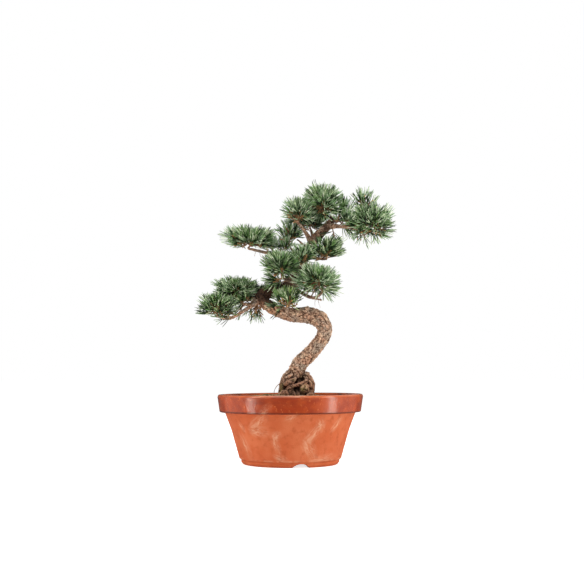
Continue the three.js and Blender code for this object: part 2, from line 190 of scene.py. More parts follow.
# A grainy colour with patches of others. Each patch's colour is followed by its noise's numbers.
def patchedMaterial(name, look):
    material, tree, sockets = newMaterial(name, Roughness=look["roughness"])
    place = millimetres(tree)
    tint = look["tint"]
    for over, *numbers in look["patches"]:
        tint = addPatches(tree, place, tint, over, *numbers)
    feed(tree, sockets["Base Color"], tint)
    addGrain(tree, place, sockets["Normal"], *look["grain"])
    return material


# Red, green and blue as seen on a screen, 0 to 255, to a linear colour.
def colour(red, green, blue):
    parts = [part / 255 for part in (red, green, blue)]
    return tuple(p / 12.92 if p <= 0.04045 else ((p + 0.055) / 1.055) ** 2.4 for p in parts) + (1,)


# Objects

def newObject(name, mesh, materials):
    made = bpy.data.objects.new(name, mesh)
    bpy.context.scene.collection.objects.link(made)
    for material in materials:
        mesh.materials.append(material)
    return made


# An object from an edit mesh, welded and facing outwards.
def objectFrom(name, bm, materials=()):
    bmesh.ops.remove_doubles(bm, verts=bm.verts, dist=1e-4)
    bmesh.ops.recalc_face_normals(bm, faces=bm.faces)
    mesh = bpy.data.meshes.new(name)
    bm.to_mesh(mesh)
    bm.free()
    return newObject(name, mesh, materials)


def vertsOf(parts):
    return [part for part in parts if isinstance(part, bmesh.types.BMVert)]


def turnRound(bm, verts, angle):
    bmesh.ops.rotate(bm, verts=verts, cent=(0, 0, 0), matrix=Matrix.Rotation(angle, 3, "Z"))


# Spins a profile of (radius, height) points round the axis. A closed one joins its own ends.
def spinProfile(points, steps, isClosed):
    bm = bmesh.new()
    ring = [bm.verts.new((radius, 0, height)) for radius, height in points]
    edges = [bm.edges.new((ring[i - 1], ring[i])) for i in range(0 if isClosed else 1, len(ring))]
    bmesh.ops.spin(bm, geom=ring + edges, cent=(0, 0, 0), axis=(0, 0, 1), dvec=(0, 0, 0),
                   angle=2 * math.pi, steps=steps, use_merge=True, use_duplicate=False)
    return bm


def applyModifiers(made):
    graph = bpy.context.evaluated_depsgraph_get()
    mesh = bpy.data.meshes.new_from_object(made.evaluated_get(graph))
    made.modifiers.clear()
    made.data = mesh


# Puts a finished piece into the frame, on the body, in place of the nodes that it stands for.
def mount(made, nodes=(), isSmooth=True):
    if isSmooth:
        made.data.shade_smooth()
    else:
        made.data.shade_flat()
    made.data.transform(toFrame)
    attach(made, "root")
    if nodes:
        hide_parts(*nodes)


# The pot

potForm = {
    "height": 103,
    "rimRadius": 108.5,
    "bandHeight": 26,
    "bandTaper": 2.4,
    "lipWidth": 9.5,
    "shoulderRadius": 97.2,
    "waistRadius": 87.6,
    "waistHeight": 50,
    "baseRadius": 75.6,
    "footRadius": 72.8,
    "footChamfer": 3.2,
    "footHeight": 6.5,
    "stepHeight": 2.2,
    "footRing": 11.5,
    "wall": 8.4,
    "floorTop": 14,
    "floorUnder": 6.2,
    "drainRadius": 13,
    "notches": 3,
    "notchTurn": -77.3,
    "notchWidth": 21,
    "notchHeight": 5.8,
    "notchStart": 25,   # how far inside the foot's edge the cut starts
    "notchLength": 34,
    "steps": 160,
    "cornerSteps": 5,
    "unevenness": 0.35,
    "warp": 0.6,        # how much the rim falls from right to left, either side of its middle
}


# The profile's corners as (radius, height), each rounded by its own radius.
def roundedProfile(corners, segments):
    points = []
    for i, (x, z, rounding) in enumerate(corners):
        here = Vector((x, z))
        before = Vector(corners[i - 1][:2]) - here
        after = Vector(corners[(i + 1) % len(corners)][:2]) - here
        if not rounding:
            points.append(here)
            continue
        half = before.angle(after) / 2
        cut = min(rounding / math.tan(half), 0.45 * before.length, 0.45 * after.length)
        start = here + before.normalized() * cut
        end = here + after.normalized() * cut
        for k in range(segments + 1):
            t = k / segments
            points.append(start * (1 - t) ** 2 + here * 2 * t * (1 - t) + end * t ** 2)
    return points


def potProfile():
    f = potForm
    chamfer = f["footChamfer"]
    footInner = f["footRadius"] - chamfer - f["footRing"]
    bandFoot = f["height"] - f["bandHeight"]
    corners = [
        (footInner, 0, 1.2),
        (f["footRadius"] - chamfer, 0, 1.5),
        (f["footRadius"], chamfer, 2),
        (f["footRadius"], f["footHeight"], 0.8),
        (f["baseRadius"], f["footHeight"] + f["stepHeight"], 1.4),
        (f["waistRadius"], f["waistHeight"], 40),
        (f["shoulderRadius"], bandFoot - 1, 1.6),
        (f["rimRadius"] - f["bandTaper"] - 0.9, bandFoot, 1.8),
        (f["rimRadius"] - 0.6, f["height"] - 7, 20),
        (f["rimRadius"], f["height"] - 3.5, 2.4),
        (f["rimRadius"] - 1.5, f["height"], 2.6),
        (f["rimRadius"] - f["lipWidth"] - 1, f["height"] - 0.4, 2.6),
        (f["rimRadius"] - f["lipWidth"] - 4, f["height"] - 6, 5),
        (f["shoulderRadius"] - f["wall"], bandFoot - 1, 6),
        (f["waistRadius"] - f["wall"], f["waistHeight"], 30),
        (f["baseRadius"] - f["wall"] + 1, f["floorTop"], 6),
        (f["drainRadius"], f["floorTop"], 1.5),
        (f["drainRadius"], f["floorUnder"], 1.5),
        (footInner, f["floorUnder"], 1.5),
    ]
    return roundedProfile(corners, f["cornerSteps"])


# Rounded arches through the foot ring.
def notchCutter():
    f = potForm
    bm = bmesh.new()
    half, inner = 0.6 * f["notchWidth"], f["footRadius"] - f["notchStart"]
    outline = [bm.verts.new((inner, half, -4)), bm.verts.new((inner, -half, -4))]
    for share in np.linspace(-1, 1, 25):
        rise = (1 - abs(share) ** 2.2) ** 0.8
        outline.append(bm.verts.new((inner, half * share, f["notchHeight"] * rise - 0.3)))
    grown = bmesh.ops.extrude_face_region(bm, geom=[bm.faces.new(outline)])["geom"]
    bmesh.ops.translate(bm, vec=(f["notchLength"], 0, 0), verts=vertsOf(grown))
    first = bm.verts[:] + bm.edges[:] + bm.faces[:]
    for i in range(1, f["notches"]):
        copied = bmesh.ops.duplicate(bm, geom=first)["geom"]
        turnRound(bm, vertsOf(copied), 2 * math.pi * i / f["notches"])
    turnRound(bm, bm.verts, math.radians(f["notchTurn"]))
    return objectFrom("notchCutter", bm)


# Only the foot stays flat and true.
def makePot(materials):
    f = potForm
    made = objectFrom("potBody", spinProfile(potProfile(), f["steps"], True), materials)
    cutter = notchCutter()
    cut = made.modifiers.new("notches", "BOOLEAN")
    cut.operation = "DIFFERENCE"
    cut.solver = "EXACT"
    cut.object = cutter
    applyModifiers(made)
    bpy.data.objects.remove(cutter)
    for vert in made.data.vertices:
        if vert.co.z > 1:
            side = Vector((vert.co.x, vert.co.y, 0)).normalized()
            swell = noise.noise(vert.co / 38) + 0.35 * noise.noise(vert.co / 9)
            vert.co += side * f["unevenness"] * (swell - 0.6)
            vert.co.z += f["warp"] * (vert.co.x / f["rimRadius"] - 1) * vert.co.z / f["height"]
    mount(made, ["pot"])


# The pale smears of lime: where each lies, how far it slants, and its length and width.
smears = [
    ((-44, -80, 66), 32, 22, 10),
    ((-46, -76, 52), -8, 20, 12),
    ((-63, -50, 30), -72, 30, 10),
    ((-68, -56, 58), -50, 12, 6),
    ((-19, -84, 46), 40, 9, 8),
    ((-20, -82, 32), -75, 22, 7),
    ((28, -78, 26), -56, 24, 12),
    ((34, -80, 50), 48, 26, 10),
    ((42, -80, 62), -70, 14, 8),
    ((66, -62, 62), 52, 18, 8),
    ((2, -94, 72), 20, 12, 6),
    ((50, -60, 13), 4, 34, 7),
    ((-12, -78, 13), -20, 16, 6),
    ((70, 52, 48), 48, 26, 10),
    ((10, 88, 52), -40, 28, 10),
    ((-50, 68, 34), 60, 22, 10),
    ((-82, 20, 56), 30, 20, 9),
]

# The same on the glaze, and patches of painted shade on the wall's inside, near its rim.
glazeSmears = [
    ((-35, -101, 82), 38, 14, 8),
    ((-40, -99, 102), 0, 20, 6),
    ((14, -106, 102), -3, 34, 6),
    ((30, 102, 86), 30, 18, 8),
]
paintedShadeSmears = [
    ((-76, 58, 97), 0, 44, 16),
    ((78, 56, 97), 0, 42, 16),
    ((-20, -95, 97), 0, 50, 16),
]

clayColours = {
    "clay": colour(190, 93, 52),
    "clayPale": colour(200, 108, 68),
    "clayDeep": colour(172, 79, 42),
    "lime": colour(220, 176, 142),
    "glaze": colour(176, 68, 16),
    "glazeDeep": colour(150, 50, 8),
    "glazeThin": colour(206, 106, 54),
    "edge": colour(92, 34, 16),
    # the painted shade on the wall's inside
    "paintedShade": colour(64, 34, 24),
}
smearDepth = 14


# Every smear of a list together.
def smearsNode(tree, place, entries):
    total = 0.0
    for at, slant, length, width in entries:
        facing = math.atan2(at[1], at[0]) + math.pi / 2
        turn = Matrix.Rotation(facing, 3, "Z") @ Matrix.Rotation(-math.radians(slant), 3, "Y")
        one = groupNode(tree, smear, place, Centre=at, Turn=turn.to_euler(),
                        Size=(length, smearDepth, width))
        total = mathNode(tree, "ADD", total, one)
    return total


def clayMaterial():
    c, f = clayColours, potForm
    material, tree, sockets = newMaterial("glazedTerracotta", Roughness=0.7, Specular_IOR_Level=0.25,
                                          Coat_Roughness=0.09)
    place = millimetres(tree)
    height = heightNode(tree, place)
    body = addPatches(tree, place, c["clay"], c["clayPale"], 0.035, 6, 0.35, 0.7)
    body = addPatches(tree, place, body, c["clayDeep"], 0.11, 8, 0.5, 0.8)

    # Lime lies in smears, and as a crust on the step above the foot.
    step = f["footHeight"]
    crust = mathNode(tree, "MULTIPLY", spreadNode(tree, height, step + 1, step + 2.4),
                     spreadNode(tree, height, step + 3.2, step + 5.5, 1, 0))
    crust = mathNode(tree, "MULTIPLY", crust,
                     groupNode(tree, mottle, place, Scale=0.09, Detail=8, Low=0.4, High=0.75))
    limes = mathNode(tree, "ADD", smearsNode(tree, place, smears), times(tree, crust, 0.45), clamp=True)
    body = mixColours(tree, limes, body, c["lime"])

    # The glaze ends in a wavy line. It is thin at the lip, and pooled and dark at its foot.
    bandFoot = f["height"] - f["bandHeight"]
    waver = addNode(tree, "ShaderNodeTexNoise", Vector=place, Scale=0.12, Detail=3).outputs["Fac"]
    edge = mathNode(tree, "ADD", height, mathNode(tree, "MULTIPLY", waver, 1.6))
    isGlazed = spreadNode(tree, edge, bandFoot - 0.4, bandFoot + 0.6)
    glaze = addPatches(tree, place, c["glaze"], c["glazeDeep"], 0.06, 7, 0.36, 0.66)
    glaze = addPatches(tree, place, glaze, c["glazeThin"], 0.3, 7, 0.58, 0.78)
    thinAtLip = spreadNode(tree, height, f["height"] - 4.2, f["height"] - 1.4, 0, 0.6)
    glaze = mixColours(tree, thinAtLip, glaze, c["glazeThin"])
    pooled = spreadNode(tree, height, bandFoot + 0.8, bandFoot + 2.6, 0.8, 0)
    glaze = mixColours(tree, pooled, glaze, c["edge"])
    # Pale lime smears on the glaze, then painted shade on the wall's inside.
    for entries, strength, over in ((glazeSmears, 0.6, c["lime"]), (paintedShadeSmears, 2.2, c["paintedShade"])):
        glaze = mixColours(tree, times(tree, smearsNode(tree, place, entries), strength), glaze, over)
    feed(tree, sockets["Base Color"], mixColours(tree, isGlazed, body, glaze))

    # The wall's inside hardly shines.
    flat = addNode(tree, "ShaderNodeMapping", Vector=place, Scale=(1, 1, 0))
    radius = addNode(tree, "ShaderNodeVectorMath", operation="LENGTH")
    feed(tree, radius.inputs[0], flat.outputs["Vector"])
    lipEdge = f["rimRadius"] - f["lipWidth"]
    outside = spreadNode(tree, radius.outputs["Value"], lipEdge - 1, lipEdge + 2, 0.1, 1)
    isShiny = mathNode(tree, "MULTIPLY", isGlazed, outside)
    feed(tree, sockets["Roughness"], spreadNode(tree, isShiny, 0, 1, 0.75, 0.32))
    feed(tree, sockets["Coat Weight"], times(tree, isShiny, 0.8))
    addGrain(tree, place, sockets["Coat Normal"], 0.8, 0.5, 0.0003)
    addGrain(tree, place, sockets["Normal"], 0.6, 0.8, 0.0008)
    return material


# Limbs

# A smooth curve through the stations (x, y, z, radius), sampled every `step`.
def limbPath(stations, step):
    stations = np.array(stations, float)
    points = stations[:, :3]
    ends = np.vstack([2 * points[0] - points[1], points, 2 * points[-1] - points[-2]])
    perSpan = 24
    share = np.linspace(0, 1, perSpan, endpoint=False)[:, None]
    places, radii = [], []
    for i in range(len(points) - 1):
        a, b, c, d = ends[i:i + 4]
        ab, bc, cd = (max(np.linalg.norm(q - p), 1e-4) ** 0.5 for p, q in ((a, b), (b, c), (c, d)))
        leave = ((b - a) / ab - (c - a) / (ab + bc) + (c - b) / bc) * bc
        arrive = ((c - b) / bc - (d - b) / (bc + cd) + (d - c) / cd) * bc
        places.append(b + leave * share + (3 * (c - b) - 2 * leave - arrive) * share ** 2
                      + (2 * (b - c) + leave + arrive) * share ** 3)
        radii.append(stations[i, 3] + (stations[i + 1, 3] - stations[i, 3]) * share[:, 0])
    places = np.vstack(places + [points[-1:]])
    radii = np.concatenate(radii + [stations[-1:, 3]])
    along = np.concatenate([[0], np.cumsum(np.linalg.norm(np.diff(places, axis=0), axis=1))])
    even = np.linspace(0, along[-1], max(3, round(along[-1] / step) + 1))
    places = np.column_stack([np.interp(even, along, places[:, k]) for k in range(3)])
    heads = np.gradient(places, axis=0)
    heads /= np.linalg.norm(heads, axis=1)[:, None]
    lefts = [np.cross(heads[0], (0, 0, 1) if abs(heads[0][2]) < 0.9 else (1, 0, 0))]
    for head in heads[1:]:
        lefts.append(lefts[-1] - head * np.dot(lefts[-1], head))
    lefts = np.array(lefts)
    lefts /= np.linalg.norm(lefts, axis=1)[:, None]
    return {"along": even, "places": places, "radii": np.interp(even, along, radii), "heads": heads,
            "lefts": lefts, "ups": np.cross(heads, lefts)}


def ringMatrix(path, i):
    radius = path["radii"][i]
    columns = (path["lefts"][i] * radius, path["ups"][i] * radius, path["heads"][i] * radius)
    turn = Matrix([[columns[c][r] for c in range(3)] for r in range(3)]).to_4x4()
    return Matrix.Translation(path["places"][i]) @ turn


# A tube along the path: one circle, extruded ring by ring. It is made by itself and then added,
# because the operators slow down as a mesh grows.
def addTube(bm, path, sides):
    tube = bmesh.new()
    bmesh.ops.create_circle(tube, segments=sides, radius=1, cap_ends=True, matrix=ringMatrix(path, 0))
    edges = tube.edges[:]
    for i in range(1, len(path["radii"])):
        made = bmesh.ops.extrude_edge_only(tube, edges=edges)["geom"]
        ring = set(vertsOf(made))
        edges = [part for part in made
                 if isinstance(part, bmesh.types.BMEdge) and ring.issuperset(part.verts)]
        step = ringMatrix(path, i) @ ringMatrix(path, i - 1).inverted()
        bmesh.ops.transform(tube, matrix=step, verts=list(ring))
    bmesh.ops.contextual_create(tube, geom=edges)
    addTo(bm, tube)


def addTo(bm, part):
    mesh = bpy.data.meshes.new("part")
    part.to_mesh(mesh)
    part.free()
    bm.from_mesh(mesh)
    bpy.data.meshes.remove(mesh)


# The trunk

trunkLower = [
    [8.5, 0, 92, 13], [8.5, 0, 132, 12.6], [14, 0, 146.5, 11.9], [34, 0, 167, 10.9], [49.6, 0, 189, 10.6],
    [51, 0, 202, 11.5], [43.5, -1, 213.5, 12.8], [28, -2, 219.5, 12.8], [4, -3, 220.2, 10.8],
    [-14, -2, 224.3, 9.6], [-34, 2, 235.2, 8.9], [-44, 7, 245, 8.6], [-45, 9, 250, 5],
]
trunkUpper = [
    [-48, 4, 238, 4], [-46, 5, 241, 8], [-41, 11, 252, 10], [-26, 15, 257.5, 9.6], [-6, 17, 263.5, 8.8],
    [7, 15, 279, 8.2], [19, 10, 304, 8], [30, 7, 325, 7.7], [46, 3, 345, 7.4], [59, 1, 358, 6.4],
    [64, 0, 371, 3.4],
]
rootForm = {
    "count": 7,
    "middle": (8.5, 0),
    "spread": 20,
    "rise": 134,
    "ground": 101.3,
    "slim": 0.7,
    "front": 5,         # the root that faces the viewer
    "frontDrop": 10,    # how much lower it starts
    "winding": 9,       # knobbly roots that wind down over the knot
    "windingThick": (2.2, 3.6),
    "windingHigh": (120, 140),
    "windingReach": (13, 16.5),
    "lumps": 54,        # short thick lumps against the knot
    "lumpThick": (3, 5.2),
    "lumpHalf": (2.5, 7),
    "lumpsOut": 24.5,
    "seed": 4,
}
# The old roots on the knot's front, as the photo shows them.
frontRoots = [
    [(16, -19, 104, 4.4), (20.5, -20.5, 110.5, 8), (23, -19, 117, 5)],
    [(23, -9, 129, 3.8), (24, -16, 122.5, 3.5), (18, -21.5, 118.5, 3), (9, -24, 116, 2.8),
     (1, -23.5, 113, 3), (-5, -21, 108, 3.4), (-8, -20, 101, 3)],
    [(-10, -15, 116, 2.6), (-4, -20, 119, 3.8), (3, -22, 121.5, 3.6), (8, -19, 127, 2.6)],
    [(-5, -9, 133, 3.4), (-9.5, -12, 125, 4.2), (-12, -13, 115, 4.6), (-13.5, -13, 105, 4.8),
     (-14, -13, 98, 5)],
    [(22, -8, 133, 3.8), (27.5, -10, 127, 4.6), (31, -11, 118, 5.2), (31, -13, 108, 5), (29, -13, 98, 5)],
    [(-15, -19, 102, 3), (-9, -22.5, 105.5, 4), (-3, -23, 103.5, 3.4), (2, -22, 98, 3)],
    [(2, -20, 110, 2.2), (5, -24, 104.5, 2.7), (7.5, -25, 98, 2.6)],
    [(9, -19, 109, 2.2), (11.5, -24, 103.5, 2.5), (12, -25, 98, 2.6)],
    [(24, -22, 100, 2.6), (29, -20, 103.5, 3.4), (34, -14, 101.5, 3)],
    [(27, -17, 122, 2), (30, -16, 118, 3), (31, -17, 112, 2.4)],
    [(-6, -16, 126, 2), (-2, -18, 128.5, 2.8), (3, -15.5, 132, 2.4)],
]
trunkForm = {"step": 1.5, "sides": 32, "voxelLower": 0.62, "voxelUpper": 0.5}
bark = {
    "cell": 4.4,        # a plate of bark, across
    "stretch": 0.66,    # how much longer it is along the limb
    "warp": 0.7,
    "warpScale": 1.3,
    "crackWidth": 0.2,
    "crackDepth": 0.7,
    "lift": 0.75,       # from plate to plate
    "tilt": 0.8,
    "flake": 0.5,
    "flakeScale": 2.9,
    "flakeWidth": 0.35,
    "grit": 0.28,
    "knotFoot": 122,    # heights between which the knot passes into the trunk
    "knotTop": 138,
    "onKnot": 0.6,      # how much of this relief the knot's roots have
    "hollowOut": 15,    # hollows this near the knot's middle get painted shade
    "hollowFade": 8,
    "seam": 1.8,        # and so do the seams between its roots
}


def rootStations(i):
    f = rootForm
    turn = (i + 0.35) * 2 * math.pi / f["count"]
    wide = 0.94 * f["spread"] * (1 + 0.12 * math.sin(5 * i))
    high = f["rise"] + 3 * math.cos(4 * i) - (f["frontDrop"] if i == f["front"] else 0)
    shape = [(0.25, high, 6), (0.7, high - 7, 7.5), (1, high - 19, 8.2), (1.04, f["ground"] + 4, 7.6),
             (1, f["ground"] - 8, 7)]
    return [
        (f["middle"][0] + wide * out * math.cos(turn + 0.4 * out),
         f["middle"][1] + wide * out * math.sin(turn + 0.4 * out), z, radius * f["slim"])
        for out, z, radius in shape
    ]


# A short thick lump of old root that lies against the knot, clear of the front.
def rootLump(rng):
    f = rootForm
    share = rng.uniform()
    turn = rng.uniform(-0.3, 1.3) * math.pi if share < 0.8 else rng.uniform(0, 2) * math.pi
    z = f["ground"] - 2 + (f["rise"] + 3 - f["ground"]) * share
    thick = rng.uniform(*f["lumpThick"])
    out = f["lumpsOut"] * (1 - 0.42 * share ** 2.4) - 0.4 * thick
    radial = Vector((math.cos(turn), math.sin(turn), 0))
    across = Vector((-math.sin(turn), math.cos(turn), 0))
    lean = rng.uniform(0, math.pi)
    heading = across * math.cos(lean) + Vector((0, 0, 1)) * math.sin(lean)
    half = rng.uniform(*f["lumpHalf"])
    middle = Vector((f["middle"][0] + 1.6, f["middle"][1], z)) + radial * out
    ends = [middle - heading * half, middle - heading * (0.6 * half), middle + radial,
            middle + heading * (0.6 * half), middle + heading * half]
    return [(*place, thick * share) for place, share in zip(ends, (0.3, 0.75, 1, 0.75, 0.3))]


# A knobbly root that winds down over the knot.
def windingRoot(k, rng):
    f = rootForm
    turn = math.pi * (-0.3 + 1.6 * (k + 0.5 * rng.uniform(-1, 1)) / f["winding"])
    wind = rng.uniform(-0.6, 0.6)
    thick = rng.uniform(*f["windingThick"])
    high = rng.uniform(*f["windingHigh"])
    reach = rng.uniform(*f["windingReach"])
    stations = []
    for share in np.linspace(0, 1, 9):
        out = (7 + reach * min(1, 1.9 * share) ** 0.7) * (1 + 0.06 * rng.standard_normal())
        angle = turn + wind * share + 0.1 * rng.standard_normal()
        z = high + (f["ground"] - 6 - high) * share ** 1.2
        stations.append((f["middle"][0] + out * math.cos(angle), f["middle"][1] + out * math.sin(angle), z,
                         thick * rng.uniform(0.7, 1.25)))
    return stations


def smoothstep(value):
    value = min(1.0, max(0.0, value))
    return value * value * (3 - 2 * value)


# The limb whose surface is nearest, as (which limb, which of its places), and how much further the
# next limb's surface lies.
def nearestLimb(place, tree, samples, paths):
    gaps, spots = {}, {}
    for _, number, distance in tree.find_n(place, 14):
        which, i = samples[number]
        gap = distance - paths[which]["radii"][i]
        if gap < gaps.get(which, math.inf):
            gaps[which], spots[which] = gap, i
    order = sorted(gaps, key=gaps.get)
    seam = gaps[order[1]] - gaps[order[0]] if len(order) > 1 else math.inf
    return order[0], spots[order[0]], seam


# Raises plates of bark on a limb's surface, and keeps how deep each point lies in a crack, with
# painted shade in the knot's hollows and seams, and the plate's own tone, for the colours. Its places
# are taken along and round the nearest limb.
def addBark(mesh, paths, scale):
    b = bark
    samples = [(which, i) for which, path in enumerate(paths) for i in range(len(path["radii"]))]
    tree = kdtree.KDTree(len(samples))
    for number, (which, i) in enumerate(samples):
        tree.insert(paths[which]["places"][i], number)
    tree.balance()
    cracksAndShade = np.zeros(len(mesh.vertices), np.float32)
    tones = np.zeros(len(mesh.vertices), np.float32)
    moved = []
    for number, vert in enumerate(mesh.vertices):
        which, i, seam = nearestLimb(vert.co, tree, samples, paths)
        path = paths[which]
        away = vert.co - Vector(path["places"][i])
        left, up, head = (Vector(path[key][i]) for key in ("lefts", "ups", "heads"))
        along = path["along"][i] + away.dot(head)
        spot = Vector((away.dot(left), away.dot(up), along * b["stretch"])) / (b["cell"] * scale)
        spot += noise.noise_vector(spot * b["warpScale"]) * b["warp"]
        near, centres = noise.voronoi(spot)
        crack = smoothstep((near[1] - near[0]) / b["crackWidth"])
        tone = noise.cell(centres[0] * 7.3)
        lean = Vector((math.sin(9 * tone), math.cos(9 * tone), math.sin(5 * tone)))
        tilt = (spot - centres[0]).dot(lean)
        fine, fineCentres = noise.voronoi(spot * b["flakeScale"])
        flake = smoothstep((fine[1] - fine[0]) / b["flakeWidth"]) - 0.6
        flake += 0.6 * noise.cell(fineCentres[0] * 3.1)
        grit = noise.noise(spot * 9) + 0.5 * noise.noise(spot * 21)
        rise = (b["crackDepth"] * (crack - 1) + b["lift"] * (tone - 0.5) + b["tilt"] * tilt
                + b["flake"] * flake + b["grit"] * grit)
        aboveKnot = smoothstep((vert.co.z - b["knotFoot"]) / (b["knotTop"] - b["knotFoot"]))
        rise *= b["onKnot"] + (1 - b["onKnot"]) * aboveKnot
        moved.append(vert.co + vert.normal * (rise * scale))
        cracksAndShade[number] = crack * (0.55 + 0.45 * smoothstep(flake + 0.6))
        # Painted shade on the knot: its hollows near the middle and the seams between its roots darken like
        # cracks.
        if vert.co.z < b["knotTop"]:
            out = math.hypot(vert.co.x - rootForm["middle"][0], vert.co.y - rootForm["middle"][1])
            shade = smoothstep((out - b["hollowOut"]) / b["hollowFade"] + (vert.co.z - 120) / 16)
            cracksAndShade[number] *= shade * smoothstep(0.1 + seam / b["seam"])
        tones[number] = tone
    mesh.vertices.foreach_set("co", np.array(moved, np.float32).ravel())
    for name, values in (("crack", cracksAndShade), ("tone", tones)):
        mesh.attributes.new(name, "FLOAT", "POINT").data.foreach_set("value", values)
    mesh.update()


# One closed skin over several limbs.
def limbSkin(name, paths, sides, voxel, materials):
    bm = bmesh.new()
    for path in paths:
        addTube(bm, path, sides)
    made = objectFrom(name, bm, materials)
    skin = made.modifiers.new("skin", "REMESH")
    skin.mode = "VOXEL"
    skin.voxel_size = voxel
    smoothing = made.modifiers.new("smoothing", "SMOOTH")
    smoothing.factor = 0.5
    smoothing.iterations = 4
    applyModifiers(made)
    return made


def makeTrunk(materials):
    f = trunkForm
    rng = np.random.default_rng(rootForm["seed"])
    limbs = [trunkLower] + [rootStations(i) for i in range(rootForm["count"])]
    limbs += [windingRoot(k, rng) for k in range(rootForm["winding"])]
    limbs += [rootLump(rng) for _ in range(rootForm["lumps"])] + frontRoots
    lower = [limbPath(stations, f["step"]) for stations in limbs]
    upper = [limbPath(trunkUpper, f["step"])]
    for name, paths, voxel, scale in (("trunkLower", lower, f["voxelLower"], 1),
                                      ("trunkUpper", upper, f["voxelUpper"], 0.8)):
        made = limbSkin(name, paths, f["sides"], voxel, materials)
        addBark(made.data, paths, scale)
        print(name + ":", len(made.data.polygons), "faces")
        mount(made, ["trunk"])
    return lower[:1] + upper


barkColours = {
    "crack": colour(84, 54, 36),
    "tan": colour(240, 206, 174),
    "pink": colour(226, 178, 148),
    "grey": colour(206, 186, 166),
    "rust": colour(204, 130, 92),
    "bare": colour(232, 168, 124),
    "moss": colour(140, 132, 66),
    "dark": colour(98, 70, 50),
    "root": colour(172, 118, 88),
    "rootPale": colour(236, 190, 156),
    # the darkest bark, also the painted shade in the knot's hollows and seams and above the elbow
    "gap": colour(46, 24, 12),
    "shade": colour(92, 72, 56),
}
barkHeights = {
    "roots": (116, 140),    # where the knot's own colours end
    "darkAndShaded": (232, 246),      # where dark bark and painted shade above the elbow start
    "shade": (231, 240),    # where the shade of the masses starts
    "light": (262, 296),    # and where half of it ends
}


# How far the bark darkens high up is the last argument: dark bark and painted shade above the elbow, and
# painted shade among the masses.
def barkMaterial(name, darkAndShadeHighUp):
    c, h = barkColours, barkHeights
    material, tree, sockets = newMaterial(name, Roughness=0.88)
    place = millimetres(tree)
    height = heightNode(tree, place)
    crack, tone = (addNode(tree, "ShaderNodeAttribute", attribute_name=kept).outputs["Fac"]
                   for kept in ("crack", "tone"))
    plates = mixColours(tree, tone, c["pink"], c["tan"])
    plates = addPatches(tree, place, plates, c["grey"], 0.08, 6, 0.42, 0.66)
    plates = addPatches(tree, place, plates, c["rust"], 0.22, 8, 0.56, 0.74, 0.65)
    plates = addPatches(tree, place, plates, c["dark"], 0.5, 7, 0.56, 0.64, 0.7)

    # Dark bark with painted shade in patches above the elbow, paler roots on the knot, and painted shade
    # among the masses.
    darkAndShaded = mathNode(tree, "MULTIPLY", spreadNode(tree, height, *h["darkAndShaded"]),
                   groupNode(tree, mottle, place, Scale=0.14, Detail=6, Low=0.44, High=0.58))
    plates = mixColours(tree, times(tree, darkAndShaded, 0.85 * darkAndShadeHighUp), plates, c["gap"])
    low = spreadNode(tree, height, *h["roots"], 0.8, 0)
    roots = mixColours(tree, spreadNode(tree, tone, 0.55, 0.95, 0, 0.7), c["root"], c["rootPale"])
    plates = mixColours(tree, low, plates, roots)
    high = mathNode(tree, "SUBTRACT", spreadNode(tree, height, *h["shade"], 0, 0.95),
                    spreadNode(tree, height, *h["light"], 0, 0.5))
    plates = mixColours(tree, times(tree, high, darkAndShadeHighUp), plates, c["shade"], "MULTIPLY")

    # Bare wood under the elbow and where the bark has peeled, then moss and lichen on the knot.
    bare = groupNode(tree, smear, place, Centre=(-30, -8, 226), Turn=(0, 0.5, 0), Size=(30, 18, 12))
    plates = mixColours(tree, times(tree, bare, 2.4), plates, c["bare"])
    peeled = groupNode(tree, smear, place, Centre=(-1, 5, 274), Turn=(0, -0.9, 0), Size=(13, 12, 8))
    plates = mixColours(tree, times(tree, peeled, 1.6), plates, c["tan"])
    mossy = mathNode(tree, "MULTIPLY", low,
                     groupNode(tree, mottle, place, Scale=0.09, Detail=5, Low=0.56, High=0.66))
    lichen = groupNode(tree, smear, place, Centre=(20, -27, 111), Size=(9, 12, 9))
    mossy = mathNode(tree, "ADD", mossy, times(tree, lichen, 3), clamp=True)
    plates = mixColours(tree, times(tree, mossy, 0.85), plates, c["moss"])
    # Cracks are dark; on the knot they take the darkest colour, which is also the painted shade of its
    # hollows and seams.
    cracksAndShade = mixColours(tree, low, c["crack"], c["gap"])
    feed(tree, sockets["Base Color"], mixColours(tree, crack, cracksAndShade, plates))
    addGrain(tree, place, sockets["Normal"], 1.6, 0.7, 0.0007)
    return material


# The branches. Each is one bough along its route, `thick` to `thin`, and a mass of needles in its
# own space. The masses of a group share a mesh, and `tint` names the tones of their needles. `splay`
# is how far the outer shoots lean, in degrees, `slant` how much the mass rises to its right, and
# `sink` how much lower its shoots stand. The shoots of one that `hangs` point down. `full` is the
# share of its needles that are kept, `below` the share of those that point down, and `long` the
# share of their length. `along` names the shoots that grow straight from the bough: how far along
# it, their turn from upright, their lean from it, and the share of their needles that are kept.

